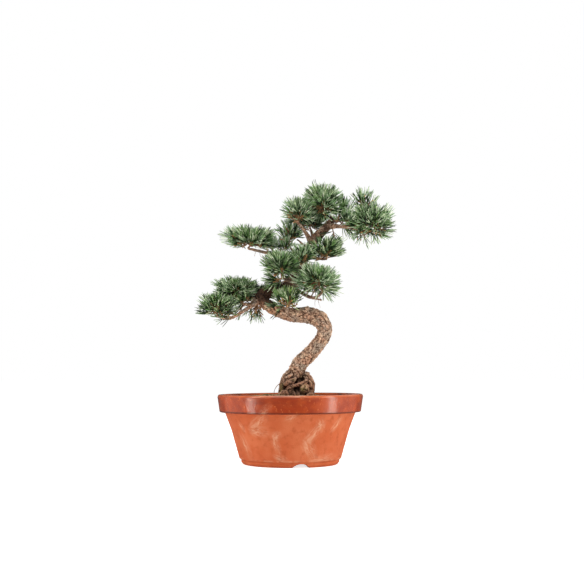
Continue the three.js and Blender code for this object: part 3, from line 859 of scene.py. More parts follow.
branches = [
    {"name": "left_low", "group": "left", "tint": "dim",
     "route": [[-43, 6, 244], [-66, -2, 229], [-92, -12, 214], [-106, -16, 217]], "thick": 3.4, "thin": 1.8,
     "centre": [-108.5, -15, 234.2], "half": [34, 36, 20], "shoots": 5, "splay": 75, "seed": 3,
     "along": [(0.62, 20, 60, 0.8), (0.7, -60, 50, 0.5), (0.8, 70, 60, 0.4), (0.86, 10, 70, 1)]},
    {"name": "left_high", "group": "left", "tint": "blue",
     "route": [[-45, 7, 245], [-62, 9, 237], [-78, 12, 240]], "thick": 3.4, "thin": 1.9,
     "centre": [-81.5, 8, 260.6], "half": [38.5, 38, 19.6], "shoots": 8, "splay": 72, "seed": 8,
     "slant": -0.04,
     "along": [(0.35, -30, 70, 0.8), (0.5, 40, 60, 1), (0.62, -80, 60, 0.8), (0.7, 150, 50, 0.5),
               (0.8, 80, 60, 1), (0.9, -130, 50, 0.6)]},
    {"name": "left_back", "group": "left", "tint": "deep",
     "route": [[-38, 12, 252], [-50, 30, 251], [-57, 45, 248.5]], "thick": 2.8, "thin": 1.7,
     "centre": [-60.5, 54, 260.5], "half": [32, 32, 17.5], "shoots": 3, "splay": 70, "seed": 5},
    {"name": "left_under", "group": "left", "tint": "deep",
     "route": [[-36, 5, 237], [-48, 8, 232]], "thick": 2.2, "thin": 1.5,
     "centre": [-52.5, 9, 226], "half": [21, 25, 19.5], "shoots": 3, "splay": 50, "seed": 2, "hangs": True,
     "sink": 0, "full": 0.6, "long": 1.12},
    {"name": "front_small", "group": "middle", "tint": "fresh",
     "route": [[-3, -3, 222], [-5, -15, 231]], "thick": 2.4, "thin": 1.5,
     "centre": [-3.5, -25, 245.2], "half": [25, 26, 20], "shoots": 3, "splay": 75, "seed": 1, "sink": 3,
     "below": 1, "along": [(0.8, 85, 72, 0.6)]},
    {"name": "middle_left", "group": "middle", "tint": "green",
     "route": [[4, 15, 274], [-4, -2, 272], [-12, -20, 277]], "thick": 3.2, "thin": 1.8,
     "centre": [-13.5, -25, 291.5], "half": [31.5, 32, 25.5], "shoots": 8, "splay": 85, "seed": 6,
     "slant": -0.12,
     "along": [(0.55, 110, 85, 0.9), (0.75, 95, 85, 1), (0.92, 125, 80, 1)]},
    {"name": "middle_right", "group": "middle", "tint": "light",
     "route": [[0, 16, 268], [18, 0, 253], [36, -18, 245], [46, -24, 251]], "thick": 3.4, "thin": 1.9,
     "centre": [40, -26, 269], "half": [38.5, 36, 29], "shoots": 9, "splay": 105, "seed": 7, "slant": -0.26,
     "along": [(0.42, 0, 75, 0.7), (0.56, 20, 80, 0.8), (0.7, -20, 85, 0.8)]},
    {"name": "middle_top", "group": "middle", "tint": "blue",
     "route": [[16, 11, 298], [17, -3, 296]], "thick": 2.6, "thin": 1.6,
     "centre": [17, -16, 308], "half": [26, 26, 20], "shoots": 4, "splay": 65, "seed": 4},
    {"name": "middle_back", "group": "middle", "tint": "deep",
     "route": [[1, 16, 269], [8, 34, 266], [14, 48, 269]], "thick": 3, "thin": 1.8,
     "centre": [14, 57, 284], "half": [34, 34, 22], "shoots": 6, "splay": 75, "seed": 9},
    {"name": "upper_left", "group": "upper", "tint": "light",
     "route": [[17, 11, 299], [-8, 9, 308.5], [-38, 5, 315.5], [-61, 1, 320.5]], "thick": 3.8, "thin": 2,
     "centre": [-60.5, 0, 338], "half": [48, 36, 19.3], "shoots": 9, "splay": 70, "seed": 11,
     "slant": -0.05, "below": 0.3,
     "along": [(0.36, -10, 85, 1), (0.43, 20, 85, 1), (0.55, 40, 75, 1), (0.66, 0, 70, 0.8)]},
    {"name": "upper_centre", "group": "upper", "tint": "green",
     "route": [[23, 9, 312], [8, 13, 316], [-1, 12, 325]], "thick": 2.6, "thin": 1.6,
     "centre": [-1, 10, 344], "half": [25, 26, 22], "shoots": 4, "splay": 60, "seed": 12},
    {"name": "upper_right", "group": "upper", "tint": "dim",
     "route": [[26, 8, 318], [40, 0, 306.5], [52, -8, 304]], "thick": 3, "thin": 1.8,
     "centre": [50.6, -10, 320.8], "half": [37.8, 34, 17.8], "shoots": 6, "splay": 75, "seed": 13,
     "slant": 0.14},
    {"name": "top_left", "group": "top", "tint": "blue",
     "route": [[33, 6, 330], [22, 0, 347], [10, -6, 361], [-2, -9, 369]], "thick": 3.2, "thin": 1.8,
     "centre": [12.6, -6, 376], "half": [28, 32, 24], "shoots": 7, "splay": 85, "seed": 14},
    {"name": "top_back", "group": "top", "tint": "deep",
     "route": [[36, 5, 334], [34, 22, 344], [32, 36, 354]], "thick": 3, "thin": 1.8,
     "centre": [32, 46, 371], "half": [33, 34, 22], "shoots": 5, "splay": 80, "seed": 15},
    {"name": "top_right_high", "group": "right", "tint": "green",
     "route": [[64, 1, 364], [80, 7, 366], [97, 9, 373]], "thick": 2.6, "thin": 1.6,
     "centre": [114.5, 10, 393.5], "half": [25, 30, 25], "shoots": 4, "splay": 65, "seed": 16,
     "full": 0.75, "long": 1.2,
     "along": [(0.3, 160, 60, 0.8), (0.42, 20, 80, 0.6), (0.55, 200, 60, 0.8), (0.66, 0, 80, 0.8)]},
    {"name": "right_tip", "group": "right", "tint": "blue",
     "route": [[58, 1, 356], [82, -6, 353], [106, -10, 348]], "thick": 3.2, "thin": 1.9,
     "centre": [120.5, -12, 358.2], "half": [42.5, 40, 33], "shoots": 9, "splay": 115, "seed": 17,
     "slant": -0.03, "below": 0.3,
     "along": [(0.1, 170, 70, 0.4), (0.2, 10, 70, 1), (0.34, -30, 70, 1), (0.48, 40, 65, 1),
               (0.6, 0, 60, 1), (0.98, 180, 75, 0.25), (0.9, 200, 80, 0.2), (0.99, 160, 50, 0.25)]},
    {"name": "top", "group": "top", "tint": "light",
     "centre": [49.5, 0, 391.3], "half": [34, 36, 32], "shoots": 9, "splay": 105, "seed": 18,
     "slant": -0.08},
]

boughForm = {
    "sides": 14,
    "step": 0.9,
    "collar": 0.7,      # how much thicker a bough is where it leaves the trunk
    "collarFrom": 7,
    "collarLength": 5,
    "stem": 3.3,        # from its tip to the fork of its mass
    "barkScale": 0.36,
}
tuftForm = {"up": 31, "out": 29, "lower": 9, "height": 44, "uneven": 3, "unevenLean": 0.1, "least": 3,
            "sink": 1}
twigForm = {
    "sides": 7,
    "step": 1.6,
    "thick": 1.35,
    "thin": 1.05,
    "tip": 0.75,
    "shoot": 11,        # the needle-bearing part of a shoot
    "sideShoots": 2,
    "sideOut": 8,
    "sideLean": 48,
    "sideShoot": 8,
    "alongStem": 5,     # from a bough to a shoot that grows straight from it
    "bow": 0.12,
    "scales": 0.22,     # rings of old scales, and where they start
    "scalesFrom": 4,
    "scaleWave": 3.7,
}
needleForm = {
    "length": 26,
    "uneven": 0.23,     # from bunch to bunch
    "bunchUneven": 0.06,
    "shorter": 0.12,    # how much, at the shoot's tip
    "sideShare": 0.88,  # length on a side shoot
    "alongShare": 0.8,  # length on a shoot that grows straight from a bough
    "width": 1.15,
    "bend": 0.12,       # towards the shoot's tip
    "lift": 0.07,       # towards the light
    "bendUneven": 0.04,
    "leanLow": 74,      # from the shoot, in degrees, at its foot
    "leanHigh": 4,      # and at its tip
    "leanUneven": 7,
    "bunches": 16,      # on a main shoot
    "sideBunches": 11,
    "bunch": 5,
    "spread": 0.12,
    "margin": (0.9, 1.13),
    "clear": 0.6,       # of the limbs
    "below": 0.5,       # how many of the needles that point down are kept
    "pointsDown": -0.25,
    "shares": (0, 0.16, 0.55, 0.9),
    "widths": (0.6, 0.9, 1, 0.8),
    "footSlot": 8,
}


# Seeded numbers from 0 to 1.
def numbersFrom(seed):
    state = seed
    while True:
        state = (state * 1664525 + 1013904223) % 2 ** 32
        yield state / 2 ** 32


def boughStations(branch):
    route = branch["route"]
    shares = np.linspace(0, 1, len(route))
    return [(*point, branch["thick"] + (branch["thin"] - branch["thick"]) * share)
            for point, share in zip(route, shares)]


# Where each main shoot of a mass stands and points: a golden spiral over the mass's plan, the
# middle ones upright and the outer ones leaning out.
def mainShoots(branch):
    f = tuftForm
    random = numbersFrom(branch["seed"])
    centre, half = Vector(branch["centre"]), branch["half"]
    up = -1 if branch.get("hangs") else 1
    wide, deep = (max(size - f["out"], f["least"]) for size in half[:2])
    drop = max(0, 2 * half[2] - f["height"])
    phase = 2 * math.pi * next(random)
    shoots = []
    centre.z -= branch.get("sink", f["sink"])
    for k in range(branch["shoots"]):
        share = (k + 0.5) / branch["shoots"]
        out = math.sqrt(share)
        turn = k * goldenTurn + phase
        lean = math.radians(branch["splay"]) * out * (1 + f["unevenLean"] * (2 * next(random) - 1))
        top = half[2] - f["up"] + f["lower"] * out
        rise = up * (top - drop * share + f["uneven"] * (next(random) - 0.5))
        x = wide * out * math.cos(turn)
        base = centre + Vector((x, deep * out * math.sin(turn), rise + branch.get("slant", 0) * x))
        tilt = math.sin(lean)
        axis = Vector((tilt * math.cos(turn), tilt * math.sin(turn), up * math.cos(lean)))
        shoots.append((base, axis))
    return shoots


# Whether points lie in a mass's own space, grown by margins of their own.
def isInside(branch, points, margins):
    offset = points - np.array(branch["centre"])
    offset[:, 2] -= branch.get("slant", 0) * offset[:, 0]
    offset /= np.array(branch["half"]) * margins[:, None]
    plan = np.hypot(offset[:, 0], offset[:, 1])
    return plan ** 3 + np.abs(offset[:, 2]) ** 3 <= 1


# Whether points keep clear of the trunk and the boughs.
def isClear(points, limbs, gap):
    clear = np.ones(len(points), bool)
    for places, radii in limbs:
        near = (np.abs(points - places.mean(0)) < np.ptp(places, axis=0) / 2 + 16).all(1)
        if near.any():
            apart = np.linalg.norm(points[near][:, None] - places[None], axis=2) - radii
            clear[np.flatnonzero(near)] &= apart.min(1) > gap
    return clear


# The twigs of a mass: each joins the nearest fork that stands before it, and carries a shoot.
# A main shoot has side shoots round its foot.
def growTwigs(branch, rng):
    f = twigForm
    fork = branch["tip"] + branch["heading"] * boughForm["stem"]
    forks = [fork]
    twigs, shoots = [], []
    for base, axis in sorted(mainShoots(branch), key=lambda shoot: (shoot[0] - fork).length):
        start = min(forks, key=lambda point: (point - base).length)
        forks.append(base)
        reach = (base - start).length
        sag = Vector(rng.standard_normal(3)) * f["bow"] * reach * 0.5 - axis * f["bow"] * reach
        middle = start.lerp(base, 0.55) + sag
        end = base + axis * f["shoot"]
        twigs.append([(*start, f["thick"]), (*middle, f["thick"]), (*base, f["thin"] + 0.15),
                      (*end, f["tip"])])
        shoots.append((base, axis, f["shoot"], 1.0, None))
        side = axis.orthogonal().normalized()
        phase = rng.uniform(0, 2 * math.pi)
        sideShoots = f["sideShoots"] if branch["shoots"] > 3 else f["sideShoots"] + 2
        for k in range(sideShoots):
            turn = phase + 2 * math.pi * (k + 0.3 * rng.uniform(-1, 1)) / sideShoots
            out = Matrix.Rotation(turn, 3, axis) @ side
            lean = math.radians(f["sideLean"] * rng.uniform(0.75, 1.25))
            sideAxis = axis * math.cos(lean) + out * math.sin(lean)
            sideBase = base + out * f["sideOut"] * rng.uniform(0.6, 1.1) - axis * rng.uniform(0, 5)
            sideEnd = sideBase + sideAxis * f["sideShoot"]
            foot = middle.lerp(base, 0.5)
            knee = foot.lerp(sideBase, 0.6) - axis * 1.2
            twigs.append([(*foot, f["thin"]), (*knee, f["thin"] * 0.95), (*sideBase, f["thin"] * 0.9),
                          (*sideEnd, f["tip"] * 0.9)])
            shoots.append((sideBase, sideAxis, f["sideShoot"], needleForm["sideShare"], None))
    for share, turn, lean, full in branch.get("along", []):
        path = branch["path"]
        i = round(share * (len(path["radii"]) - 1))
        foot, head = Vector(path["places"][i]), Vector(path["heads"][i])
        out = Matrix.Rotation(math.radians(turn), 3, head) @ head.cross((0, 0, 1)).cross(head).normalized()
        axis = (head * math.cos(math.radians(lean)) + out * math.sin(math.radians(lean))).normalized()
        base = foot + axis * (path["radii"][i] + f["alongStem"])
        end = base + axis * f["sideShoot"]
        twigs.append([(*foot, f["thick"]), (*base, f["thin"]), (*end, f["tip"])])
        shoots.append((base, axis, f["sideShoot"], needleForm["alongShare"], full))
    return twigs, shoots


# The needles of one shoot, in bunches of five that wind round it, leaning out less towards its tip.
def growNeedles(base, axis, length, share, rng):
    f = needleForm
    bunches = f["bunches"] if share == 1.0 else f["sideBunches"]
    steps = (np.arange(bunches) + 0.5) / bunches
    turn = np.arange(bunches) * goldenTurn + rng.uniform(0, 2 * math.pi)
    lean = f["leanLow"] + (f["leanHigh"] - f["leanLow"]) * steps ** 1.15
    lean = np.radians(lean + f["leanUneven"] * rng.standard_normal(bunches))
    axis = np.array(axis)
    left = np.array(Vector(axis).orthogonal().normalized())
    up = np.cross(axis, left)
    sides = np.cos(turn)[:, None] * left + np.sin(turn)[:, None] * up
    heads = np.cos(lean)[:, None] * axis + np.sin(lean)[:, None] * sides
    starts = np.array(base) + (steps * length)[:, None] * axis + 0.5 * sides
    lengths = f["length"] * share * (1 - f["shorter"] * steps ** 3)
    lengths = lengths * (1 + f["uneven"] * rng.uniform(-1, 1, bunches))
    starts, heads, lengths = (np.repeat(part, f["bunch"], axis=0) for part in (starts, heads, lengths))
    heads = heads + f["spread"] * rng.standard_normal(heads.shape)
    heads /= np.linalg.norm(heads, axis=1)[:, None]
    lengths = lengths * (1 + f["bunchUneven"] * rng.uniform(-1, 1, len(lengths)))
    bends = axis * f["bend"] + np.array((0, 0, f["lift"]))
    bends = bends + f["bendUneven"] * rng.standard_normal(heads.shape)
    bends -= heads * (bends * heads).sum(1)[:, None]
    return {"starts": starts, "heads": heads, "bends": bends, "lengths": lengths,
            "rolls": rng.uniform(0, 2 * math.pi, len(lengths))}


def pointsAlong(needles, share):
    reach = needles["lengths"][:, None]
    return needles["starts"] + needles["heads"] * reach * share + needles["bends"] * reach * share ** 2


# Three-sided blades that taper to a point, as one mesh. Two sides of each wear the outer colour of
# its tone, and the third its inner colour. Their lower half is darker, as painted shade, and they have
# a foot of their own colour.
def bladeMesh(name, needles, form):
    count = len(needles["lengths"])
    shares, widths = form["shares"], form["widths"]
    rings = len(shares)
    ref = np.where(np.abs(needles["heads"][:, 2:]) < 0.9, [[0.0, 0.0, 1.0]], [[1.0, 0.0, 0.0]])
    left = np.cross(needles["heads"], ref)
    left /= np.linalg.norm(left, axis=1)[:, None]
    up = np.cross(needles["heads"], left)
    places = np.zeros((count, 3 * rings + 1, 3), np.float32)
    for j in range(rings):
        middle = pointsAlong(needles, shares[j])
        for k in range(3):
            turn = needles["rolls"] + 2 * math.pi * k / 3
            out = np.cos(turn)[:, None] * left + np.sin(turn)[:, None] * up
            places[:, 3 * j + k] = middle + out * (form["width"] / 2 * widths[j])
    places[:, -1] = pointsAlong(needles, 1)
    quads = [[3 * j + k, 3 * j + (k + 1) % 3, 3 * j + 3 + (k + 1) % 3, 3 * j + 3 + k]
             for j in range(rings - 1) for k in range(3)]
    last = 3 * (rings - 1)
    triangles = [[0, 2, 1]] + [[last + k, last + (k + 1) % 3, last + 3] for k in range(3)]
    pattern = np.concatenate([np.ravel(quads), np.ravel(triangles)])
    sizes = np.array([4] * len(quads) + [3] * len(triangles))
    sides = np.array([k for _ in range(rings - 1) for k in range(3)] + [0, 0, 1, 2])
    corners = (pattern[None] + np.arange(count)[:, None] * places.shape[1]).ravel()
    starts = np.concatenate([[0], np.cumsum(np.tile(sizes, count))[:-1]])
    slots = 2 * needles["tones"][:, None] + (sides[None] == 2)
    if "footSlot" in form:
        rows = np.array([j for j in range(rings - 1) for _ in range(3)] + [0, rings, rings, rings])
        # Painted shade on the lower half: the outer sides wear the deep outer colour, the inner side its
        # tone's outer colour.
        slots[:, rows == 1] = np.where(sides[rows == 1] == 2, 2 * needles["tones"][:, None], 0)
        slots[:, rows == 0] = form["footSlot"]
    mesh = bpy.data.meshes.new(name)
    mesh.vertices.add(places.shape[0] * places.shape[1])
    mesh.vertices.foreach_set("co", places.ravel())
    mesh.loops.add(len(corners))
    mesh.loops.foreach_set("vertex_index", corners.astype(np.int32))
    mesh.polygons.add(len(starts))
    mesh.polygons.foreach_set("loop_start", starts.astype(np.int32))
    mesh.polygons.foreach_set("material_index", slots.ravel().astype(np.int32))
    mesh.update(calc_edges=True)
    return mesh


# Each tone of needle: the green outer side, and the paler inner sides with their white lines. The deep
# outer colour is also the painted shade on the lower half of every needle.
needleColours = {
    "deepOuter": colour(42, 64, 34),
    "deepInner": colour(148, 170, 130),
    "greenOuter": colour(110, 148, 86),
    "greenInner": colour(206, 222, 182),
    "blueOuter": colour(136, 168, 124),
    "blueInner": colour(226, 236, 208),
    "freshOuter": colour(112, 150, 70),
    "freshInner": colour(196, 212, 148),
}
footColours = {"needleFoot": colour(168, 136, 88)}
# How much of each tone a tint has.
tintShares = {
    "deep": (0.66, 0.28, 0.06, 0),
    "dim": (0.46, 0.38, 0.16, 0),
    "green": (0.34, 0.4, 0.26, 0),
    "blue": (0.24, 0.3, 0.46, 0),
    "light": (0.16, 0.3, 0.54, 0),
    "fresh": (0.42, 0.24, 0.02, 0.32),
}


def makeBoughs(materials):
    f = boughForm
    bm = bmesh.new()
    paths = []
    for branch in branches:
        if "route" not in branch:
            continue
        stations = boughStations(branch)
        path = limbPath(stations, f["step"])
        branch["path"] = path
        branch["tip"] = Vector(stations[-1][:3])
        branch["heading"] = Vector(path["heads"][-1])
        end = branch["tip"] + branch["heading"] * f["stem"]
        longer = limbPath(stations + [(*end, twigForm["thick"])], f["step"])
        past = np.maximum(longer["along"] - f["collarFrom"], 0)
        longer["radii"] *= 1 + f["collar"] * np.exp(-past / f["collarLength"])
        paths.append(longer)
        addTube(bm, longer, f["sides"])
    for stations in stubs:
        paths.append(limbPath(stations, f["step"]))
        addTube(bm, paths[-1], f["sides"])
    made = objectFrom("boughs", bm, materials)
    addBark(made.data, paths, f["barkScale"])
    mount(made, ["bough_" + branch["name"] for branch in branches if "route" in branch])
    print("boughs:", len(made.data.polygons), "faces")
    return paths


# Cut stubs and short dead ends on the limbs.
stubs = [
    [(-10, -17, 119, 0.8), (-17, -19, 117, 0.6), (-22, -20, 111, 0.55), (-26, -20, 98, 0.5)],
    [(-79, -4, 241, 0.7), (-68, -5, 237.5, 0.9), (-56, -2, 232.5, 1.1)],
    [(34, -18, 244.5, 1.9), (40, -19, 243, 1.5), (46.5, -19, 241.6, 1.4)],
    [(-20, -9, 230, 2.2), (-22, -14, 232, 1.8)],
    [(36, 2, 329, 3), (38, -7, 328, 2.6)],
    [(24, -10, 227, 3.4), (26, -15, 231, 2.6)],
    [(26, 8, 322, 2), (16, 6, 331, 1.6), (10, 7, 336, 1.1)],
    [(37, -19, 243, 0.4), (36.5, -19, 237, 0.35), (36.8, -19, 232, 0.3)],
    [(41, -19, 242, 0.4), (42.5, -19, 236, 0.35), (44.5, -19, 230, 0.3)],
    [(-50, 1, 318, 0.5), (-53, 0, 314, 0.45), (-54, -1, 309, 0.4)],
    [(-46, 2, 317.5, 0.5), (-46, 1, 313, 0.4), (-45, 0, 309, 0.35)],
]

twigBark = {
    "tint": colour(172, 130, 92),
    "patches": [(colour(134, 104, 78), 0.15, 5, 0.4, 0.62), (colour(88, 64, 46), 0.9, 4, 0.52, 0.68)],
    "grain": (2.2, 0.6, 0.0004),
    "roughness": 0.8,
}


def makeCrown(twigMaterials, leafMaterials, limbs):
    f, t = needleForm, twigForm
    solids = [(path["places"][::2], path["radii"][::2]) for path in limbs]
    upperTrunk = limbPath(trunkUpper, trunkForm["step"])
    bm = bmesh.new()
    found = {}
    buds = []
    for branch in branches:
        rng = np.random.default_rng(branch["seed"])
        if "tip" not in branch:
            branch["tip"] = Vector(trunkUpper[-1][:3])
            branch["heading"] = Vector(upperTrunk["heads"][-1])
        twigs, shoots = growTwigs(branch, rng)
        for stations in twigs:
            path = limbPath(stations, t["step"])
            along = path["along"]
            path["radii"] *= 1 + t["scales"] * np.sin(along * t["scaleWave"]) * (along > t["scalesFrom"])
            addTube(bm, path, t["sides"])
        shares = tintShares[branch["tint"]]
        for base, axis, length, share, full in shoots:
            needles = growNeedles(base, axis, length, share, rng)
            needles["lengths"] *= branch.get("long", 1)
            count = len(needles["lengths"])
            bunches = count // f["bunch"]
            needles["tones"] = np.repeat(rng.choice(len(shares), bunches, p=shares), f["bunch"])
            inside = isInside(branch, pointsAlong(needles, 1), rng.uniform(*f["margin"], count))
            keep = inside if full is None else np.ones(count, bool)
            if not branch.get("hangs"):
                below = rng.uniform(size=count) < branch.get("below", f["below"])
                keep &= (needles["heads"][:, 2] > f["pointsDown"]) | below
            full = branch.get("full", 1) if full is None else full
            keep &= np.repeat(rng.uniform(size=bunches) < full, f["bunch"])
            for part in (0.35, 0.7, 1):
                keep &= isClear(pointsAlong(needles, part), solids, f["clear"])
            group = found.setdefault(branch["group"], [])
            group.append({key: value[keep] for key, value in needles.items()})
            buds.append((base + axis * length, axis, share))
    made = objectFrom("twigs", bm, twigMaterials)
    mount(made, ["needles_" + branch["name"] for branch in branches])
    print("twigs:", len(made.data.polygons), "faces")
    for group, parts in found.items():
        joined = {key: np.concatenate([part[key] for part in parts]) for key in parts[0]}
        name = "needles" + group.capitalize()
        piece = newObject(name, bladeMesh(name, joined, f), leafMaterials)
        replaced = ["needles_" + branch["name"] for branch in branches if branch["group"] == group]
        mount(piece, replaced, isSmooth=False)
        print(name + ":", len(joined["lengths"]), "needles")
    return buds


budForm = {"length": 4.6, "width": 2.3, "segments": 6, "rings": 5}
budScales = {
    "tint": colour(206, 160, 106),
    "patches": [(colour(160, 114, 72), 0.7, 4, 0.4, 0.62)],
    "grain": (3, 0.5, 0.0003),
    "roughness": 0.6,
}


def makeBuds(buds, materials):
    f = budForm
    bm = bmesh.new()
    for place, axis, share in buds:
        bud = bmesh.new()
        turn = Vector((0, 0, 1)).rotation_difference(axis).to_matrix().to_4x4()
        shape = Matrix.Diagonal((f["width"] * share, f["width"] * share, f["length"] * share, 1))
        bmesh.ops.create_uvsphere(bud, u_segments=f["segments"], v_segments=f["rings"], radius=0.5,
                                  matrix=Matrix.Translation(place) @ turn @ shape)
        addTo(bm, bud)
    mount(objectFrom("buds", bm, materials))


# The soil

soilForm = {
    "top": 101,
    "levelRadius": 42,
    "edgeDrop": 8,
    "edgeRadius": 93,
    "footRadius": 70,
    "floor": 15,
    "rings": 26,
    "steps": 96,
    "sunk": 1,          # below the tops of the grit
    "roughness": 0.6,
}
gritForm = {
    "count": 5200,
    "small": 1.4,
    "large": 3.6,
    "uneven": 0.22,
    "fromEdge": 1.5,
    "aside": 17,        # from the trunk's middle
    "bareRise": 0.5,    # a cushion this high has none
    "shares": (0.45, 0.35, 0.2),
    "seed": 21,
}
mossForm = {
    "blades": 6500,
    "length": 1.5,
    "width": 0.45,
    "lean": 0.45,
    "bend": 0.2,
    "leastRise": 0.3,   # of the cushion under a blade
    "sunk": 0.6,
    "shares": (0, 0.5),
    "widths": (1, 0.8),
    "seed": 33,
}
earth = {
    "tint": colour(62, 42, 28),
    "patches": [(colour(98, 74, 50), 0.2, 7, 0.4, 0.62)],
    "grain": (1.2, 0.9, 0.001),
    "roughness": 0.95,
}
# Cushions of moss on the soil: x, y, half their width, and how high they stand.
cushions = [
    (-34, 7, 10, 1.8), (-58, 36, 13, 3.2), (-70, -12, 12, 3), (-46, -52, 13, 3.2), (-8, -70, 12, 3.4),
    (34, -62, 12, 3.2), (68, -22, 12, 3), (66, 30, 13, 3.2), (28, 66, 12, 3), (-16, 68, 13, 3.2),
]


def soilHeight(x, y):
    f = soilForm
    out = math.hypot(x, y)
    share = min(1, max(0, (out - f["levelRadius"]) / (f["edgeRadius"] - f["levelRadius"])))
    wave = noise.noise(Vector((x, y, 3)) / 14) + 0.5 * noise.noise(Vector((x, y, 9)) / 5)
    return f["top"] - f["sunk"] - f["edgeDrop"] * share + f["roughness"] * wave


def cushionRise(x, y):
    rise = 0
    for cx, cy, half, height in cushions:
        away = math.hypot(x - cx, y - cy) / (half * (1 + 0.2 * noise.noise(Vector((x, y, cx)) / 7)))
        rise = max(rise, height * math.sqrt(max(0, 1 - away ** 2)))
    return rise


def makeSoil(materials):
    f = soilForm
    profile = [(0, f["floor"]), (f["footRadius"], f["floor"])]
    profile += [(radius, f["top"]) for radius in np.linspace(0, f["edgeRadius"], f["rings"])[::-1]]
    bm = spinProfile(profile, f["steps"], False)
    for vert in bm.verts:
        if vert.co.z > f["top"] - 1:
            vert.co.z = soilHeight(vert.co.x, vert.co.y) + cushionRise(vert.co.x, vert.co.y)
    mount(objectFrom("soilBed", bm, materials), ["soil"])


# Grains of grit, each a rough twenty-sided stone, as one mesh.
def makeGrit(materials):
    f = gritForm
    rng = np.random.default_rng(f["seed"])
    bm = bmesh.new()
    bmesh.ops.create_icosphere(bm, subdivisions=1, radius=0.5)
    stone = np.array([vert.co for vert in bm.verts])
    faces = np.array([[vert.index for vert in face.verts] for face in bm.faces])
    bm.free()
    places, corners, slots = [], [], []
    while len(places) < f["count"]:
        out = (soilForm["edgeRadius"] - f["fromEdge"]) * math.sqrt(rng.uniform())
        turn = rng.uniform(0, 2 * math.pi)
        x, y = out * math.cos(turn), out * math.sin(turn)
        fromTrunk = math.hypot(x - rootForm["middle"][0], y)
        if cushionRise(x, y) > f["bareRise"] or fromTrunk < f["aside"]:
            continue
        size = f["small"] + (f["large"] - f["small"]) * rng.uniform() ** 2
        shape = stone * (1 + f["uneven"] * rng.standard_normal(stone.shape))
        shape = shape * rng.uniform(0.7, 1.15, 3) * size
        spin = Matrix.Rotation(rng.uniform(0, 6.3), 3, Vector(rng.standard_normal(3)))
        place = (x, y, soilHeight(x, y) + size * rng.uniform(-0.1, 0.2))
        corners.append(faces + len(places) * len(stone))
        places.append(shape @ np.array(spin).T + np.array(place))
        slots += [int(rng.choice(len(materials), p=f["shares"]))] * len(faces)
    mesh = bpy.data.meshes.new("grit")
    mesh.from_pydata(np.concatenate(places).tolist(), [], np.concatenate(corners).tolist())
    mesh.polygons.foreach_set("material_index", slots)
    print("grit:", len(mesh.polygons), "faces")
    mount(newObject("grit", mesh, materials), isSmooth=False)


# Short upright blades over the cushions.
def makeMoss(materials):
    f = mossForm
    rng = np.random.default_rng(f["seed"])
    starts = []
    weights = np.array([half ** 2 for _, _, half, _ in cushions], float)
    while len(starts) < f["blades"]:
        cx, cy, half, _ = cushions[rng.choice(len(cushions), p=weights / weights.sum())]
        out = half * math.sqrt(rng.uniform())
        turn = rng.uniform(0, 2 * math.pi)
        x, y = cx + out * math.cos(turn), cy + out * math.sin(turn)
        rise = cushionRise(x, y)
        if rise > f["leastRise"]:
            starts.append((x, y, soilHeight(x, y) + rise - f["sunk"]))
    count = len(starts)
    heads = np.array((0, 0, 1)) + f["lean"] * rng.standard_normal((count, 3))
    heads /= np.linalg.norm(heads, axis=1)[:, None]
    blades = {"starts": np.array(starts), "heads": heads,
              "bends": f["bend"] * rng.standard_normal((count, 3)),
              "lengths": f["length"] * rng.uniform(0.6, 1.2, count),
              "rolls": rng.uniform(0, 6.3, count), "tones": rng.integers(0, 2, count)}
    mount(newObject("moss", bladeMesh("moss", blades, f), materials), isSmooth=False)


stoneColours = {
    "gritTan": colour(164, 128, 88),
    "gritBrown": colour(104, 74, 50),
    "gritGrey": colour(128, 118, 106),
}
mossColours = {
    "mossDark": colour(98, 98, 46),
    "mossDarkInner": colour(116, 110, 58),
    "mossLight": colour(138, 118, 66),
    "mossLightInner": colour(158, 134, 84),
}


# The camera, the floor and the light

view = {
    "place": (2.55, -1416, 135.15),
    "pitch": 4.84,      # above level
    "lens": 58.2,
    "sensor": 36,
}


def makeCamera():
    data = bpy.data.cameras.new("camera")
    data.lens = view["lens"]
    data.sensor_width = view["sensor"]
    made = bpy.data.objects.new("camera", data)
    made.location = toFrame @ Vector(view["place"])
    made.rotation_euler = (math.radians(90 + view["pitch"]), 0, 0)
    bpy.context.scene.collection.objects.link(made)
    bpy.context.scene.camera = made


floorForm = {"radius": 14000, "segments": 96, "glow": 0.75}


def makeFloor():
    f = floorForm
    bm = bmesh.new()
    bmesh.ops.create_circle(bm, cap_ends=True, segments=f["segments"], radius=f["radius"])
    material, tree, sockets = newMaterial("paleFloor", Base_Color=(0.85, 0.85, 0.85, 1), Roughness=0.9,
                                          Emission_Color=(1, 1, 1, 1))
    seen = addNode(tree, "ShaderNodeLightPath").outputs["Is Camera Ray"]
    feed(tree, sockets["Emission Strength"], times(tree, seen, f["glow"]))
    made = objectFrom("floor", bm, [material])
    made.data.transform(toFrame)
    made.visible_glossy = False
    made.visible_shadow = False


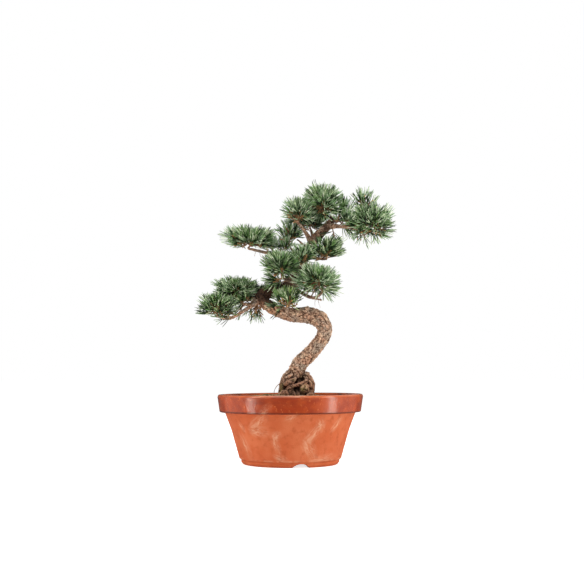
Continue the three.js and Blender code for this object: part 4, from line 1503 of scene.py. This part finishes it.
# Each light: where it stands, its size and its power. The strips and the panels reach below the
# floor, as they do beside a table.
warm = (1, 0.94, 0.85)
mild = (1, 0.95, 0.88)
lights = [
    {"name": "leftStrip", "place": (-1100, -550, 300), "size": (110, 1900), "power": 10.5, "colour": warm},
    {"name": "rightStrip", "place": (1150, -465, 300), "size": (160, 1900), "power": 14, "colour": warm},
    {"name": "leftPanel", "place": (-1350, 250, 300), "size": (1200, 1900), "power": 4, "colour": mild},
    {"name": "rightPanel", "place": (1350, 250, 300), "size": (1200, 1900), "power": 3.5, "colour": mild},
    {"name": "overhead", "place": (-150, -500, 1500), "size": (1100, 1100), "power": 15.5},
    {"name": "backFill", "place": (200, 1300, 1000), "size": (1200, 900), "power": 4},
]
lightsMeet = Vector((0, 0, 210))
surround = {"fill": 0.35, "gloss": 0.11}


def makeLights():
    for entry in lights:
        data = bpy.data.lights.new(entry["name"], "AREA")
        data.shape = "RECTANGLE"
        data.size, data.size_y = (side / 1000 for side in entry["size"])
        data.energy = entry["power"]
        data.color = entry.get("colour", (1, 1, 1))
        made = bpy.data.objects.new(entry["name"], data)
        place = Vector(entry["place"])
        made.location = toFrame @ place
        made.rotation_euler = (lightsMeet - place).to_track_quat("-Z", "Y").to_euler()
        made.visible_camera = False
        bpy.context.scene.collection.objects.link(made)


# A white surround that gives the plant little light, and its gloss less.
def makeSurround():
    world = bpy.data.worlds.new("surround")
    world.use_nodes = True
    bpy.context.scene.world = world
    tree = world.node_tree
    shown = tree.nodes["Background"].inputs
    shown["Color"].default_value = (1, 1, 1, 1)
    strength, *others = (addNode(tree, "ShaderNodeLightPath").outputs["Is " + kind + " Ray"]
                         for kind in ("Camera", "Diffuse", "Glossy"))
    for ray, share in zip(others, (surround["fill"], surround["gloss"])):
        strength = mathNode(tree, "MAXIMUM", strength, times(tree, ray, share))
    feed(tree, shown["Strength"], strength)
    bpy.context.scene.view_settings.view_transform = "Standard"


makeCamera()
makeFloor()
makeLights()
makeSurround()
print("stage set")
makePot([clayMaterial()])
print("pot made")
makeSoil([patchedMaterial("earth", earth)])
makeGrit(plainMaterials(stoneColours, 0.9))
makeMoss(plainMaterials(mossColours, 0.8))
print("soil made")
trunkPaths = makeTrunk([barkMaterial("bark", 1)])
boughPaths = makeBoughs([barkMaterial("limbBark", 0.15)])
leafMaterials = plainMaterials(needleColours, 0.38) + plainMaterials(footColours, 0.6)
buds = makeCrown([patchedMaterial("twigBark", twigBark)], leafMaterials, trunkPaths + boughPaths)
makeBuds(buds, [patchedMaterial("bud", budScales)])
print("crown made")
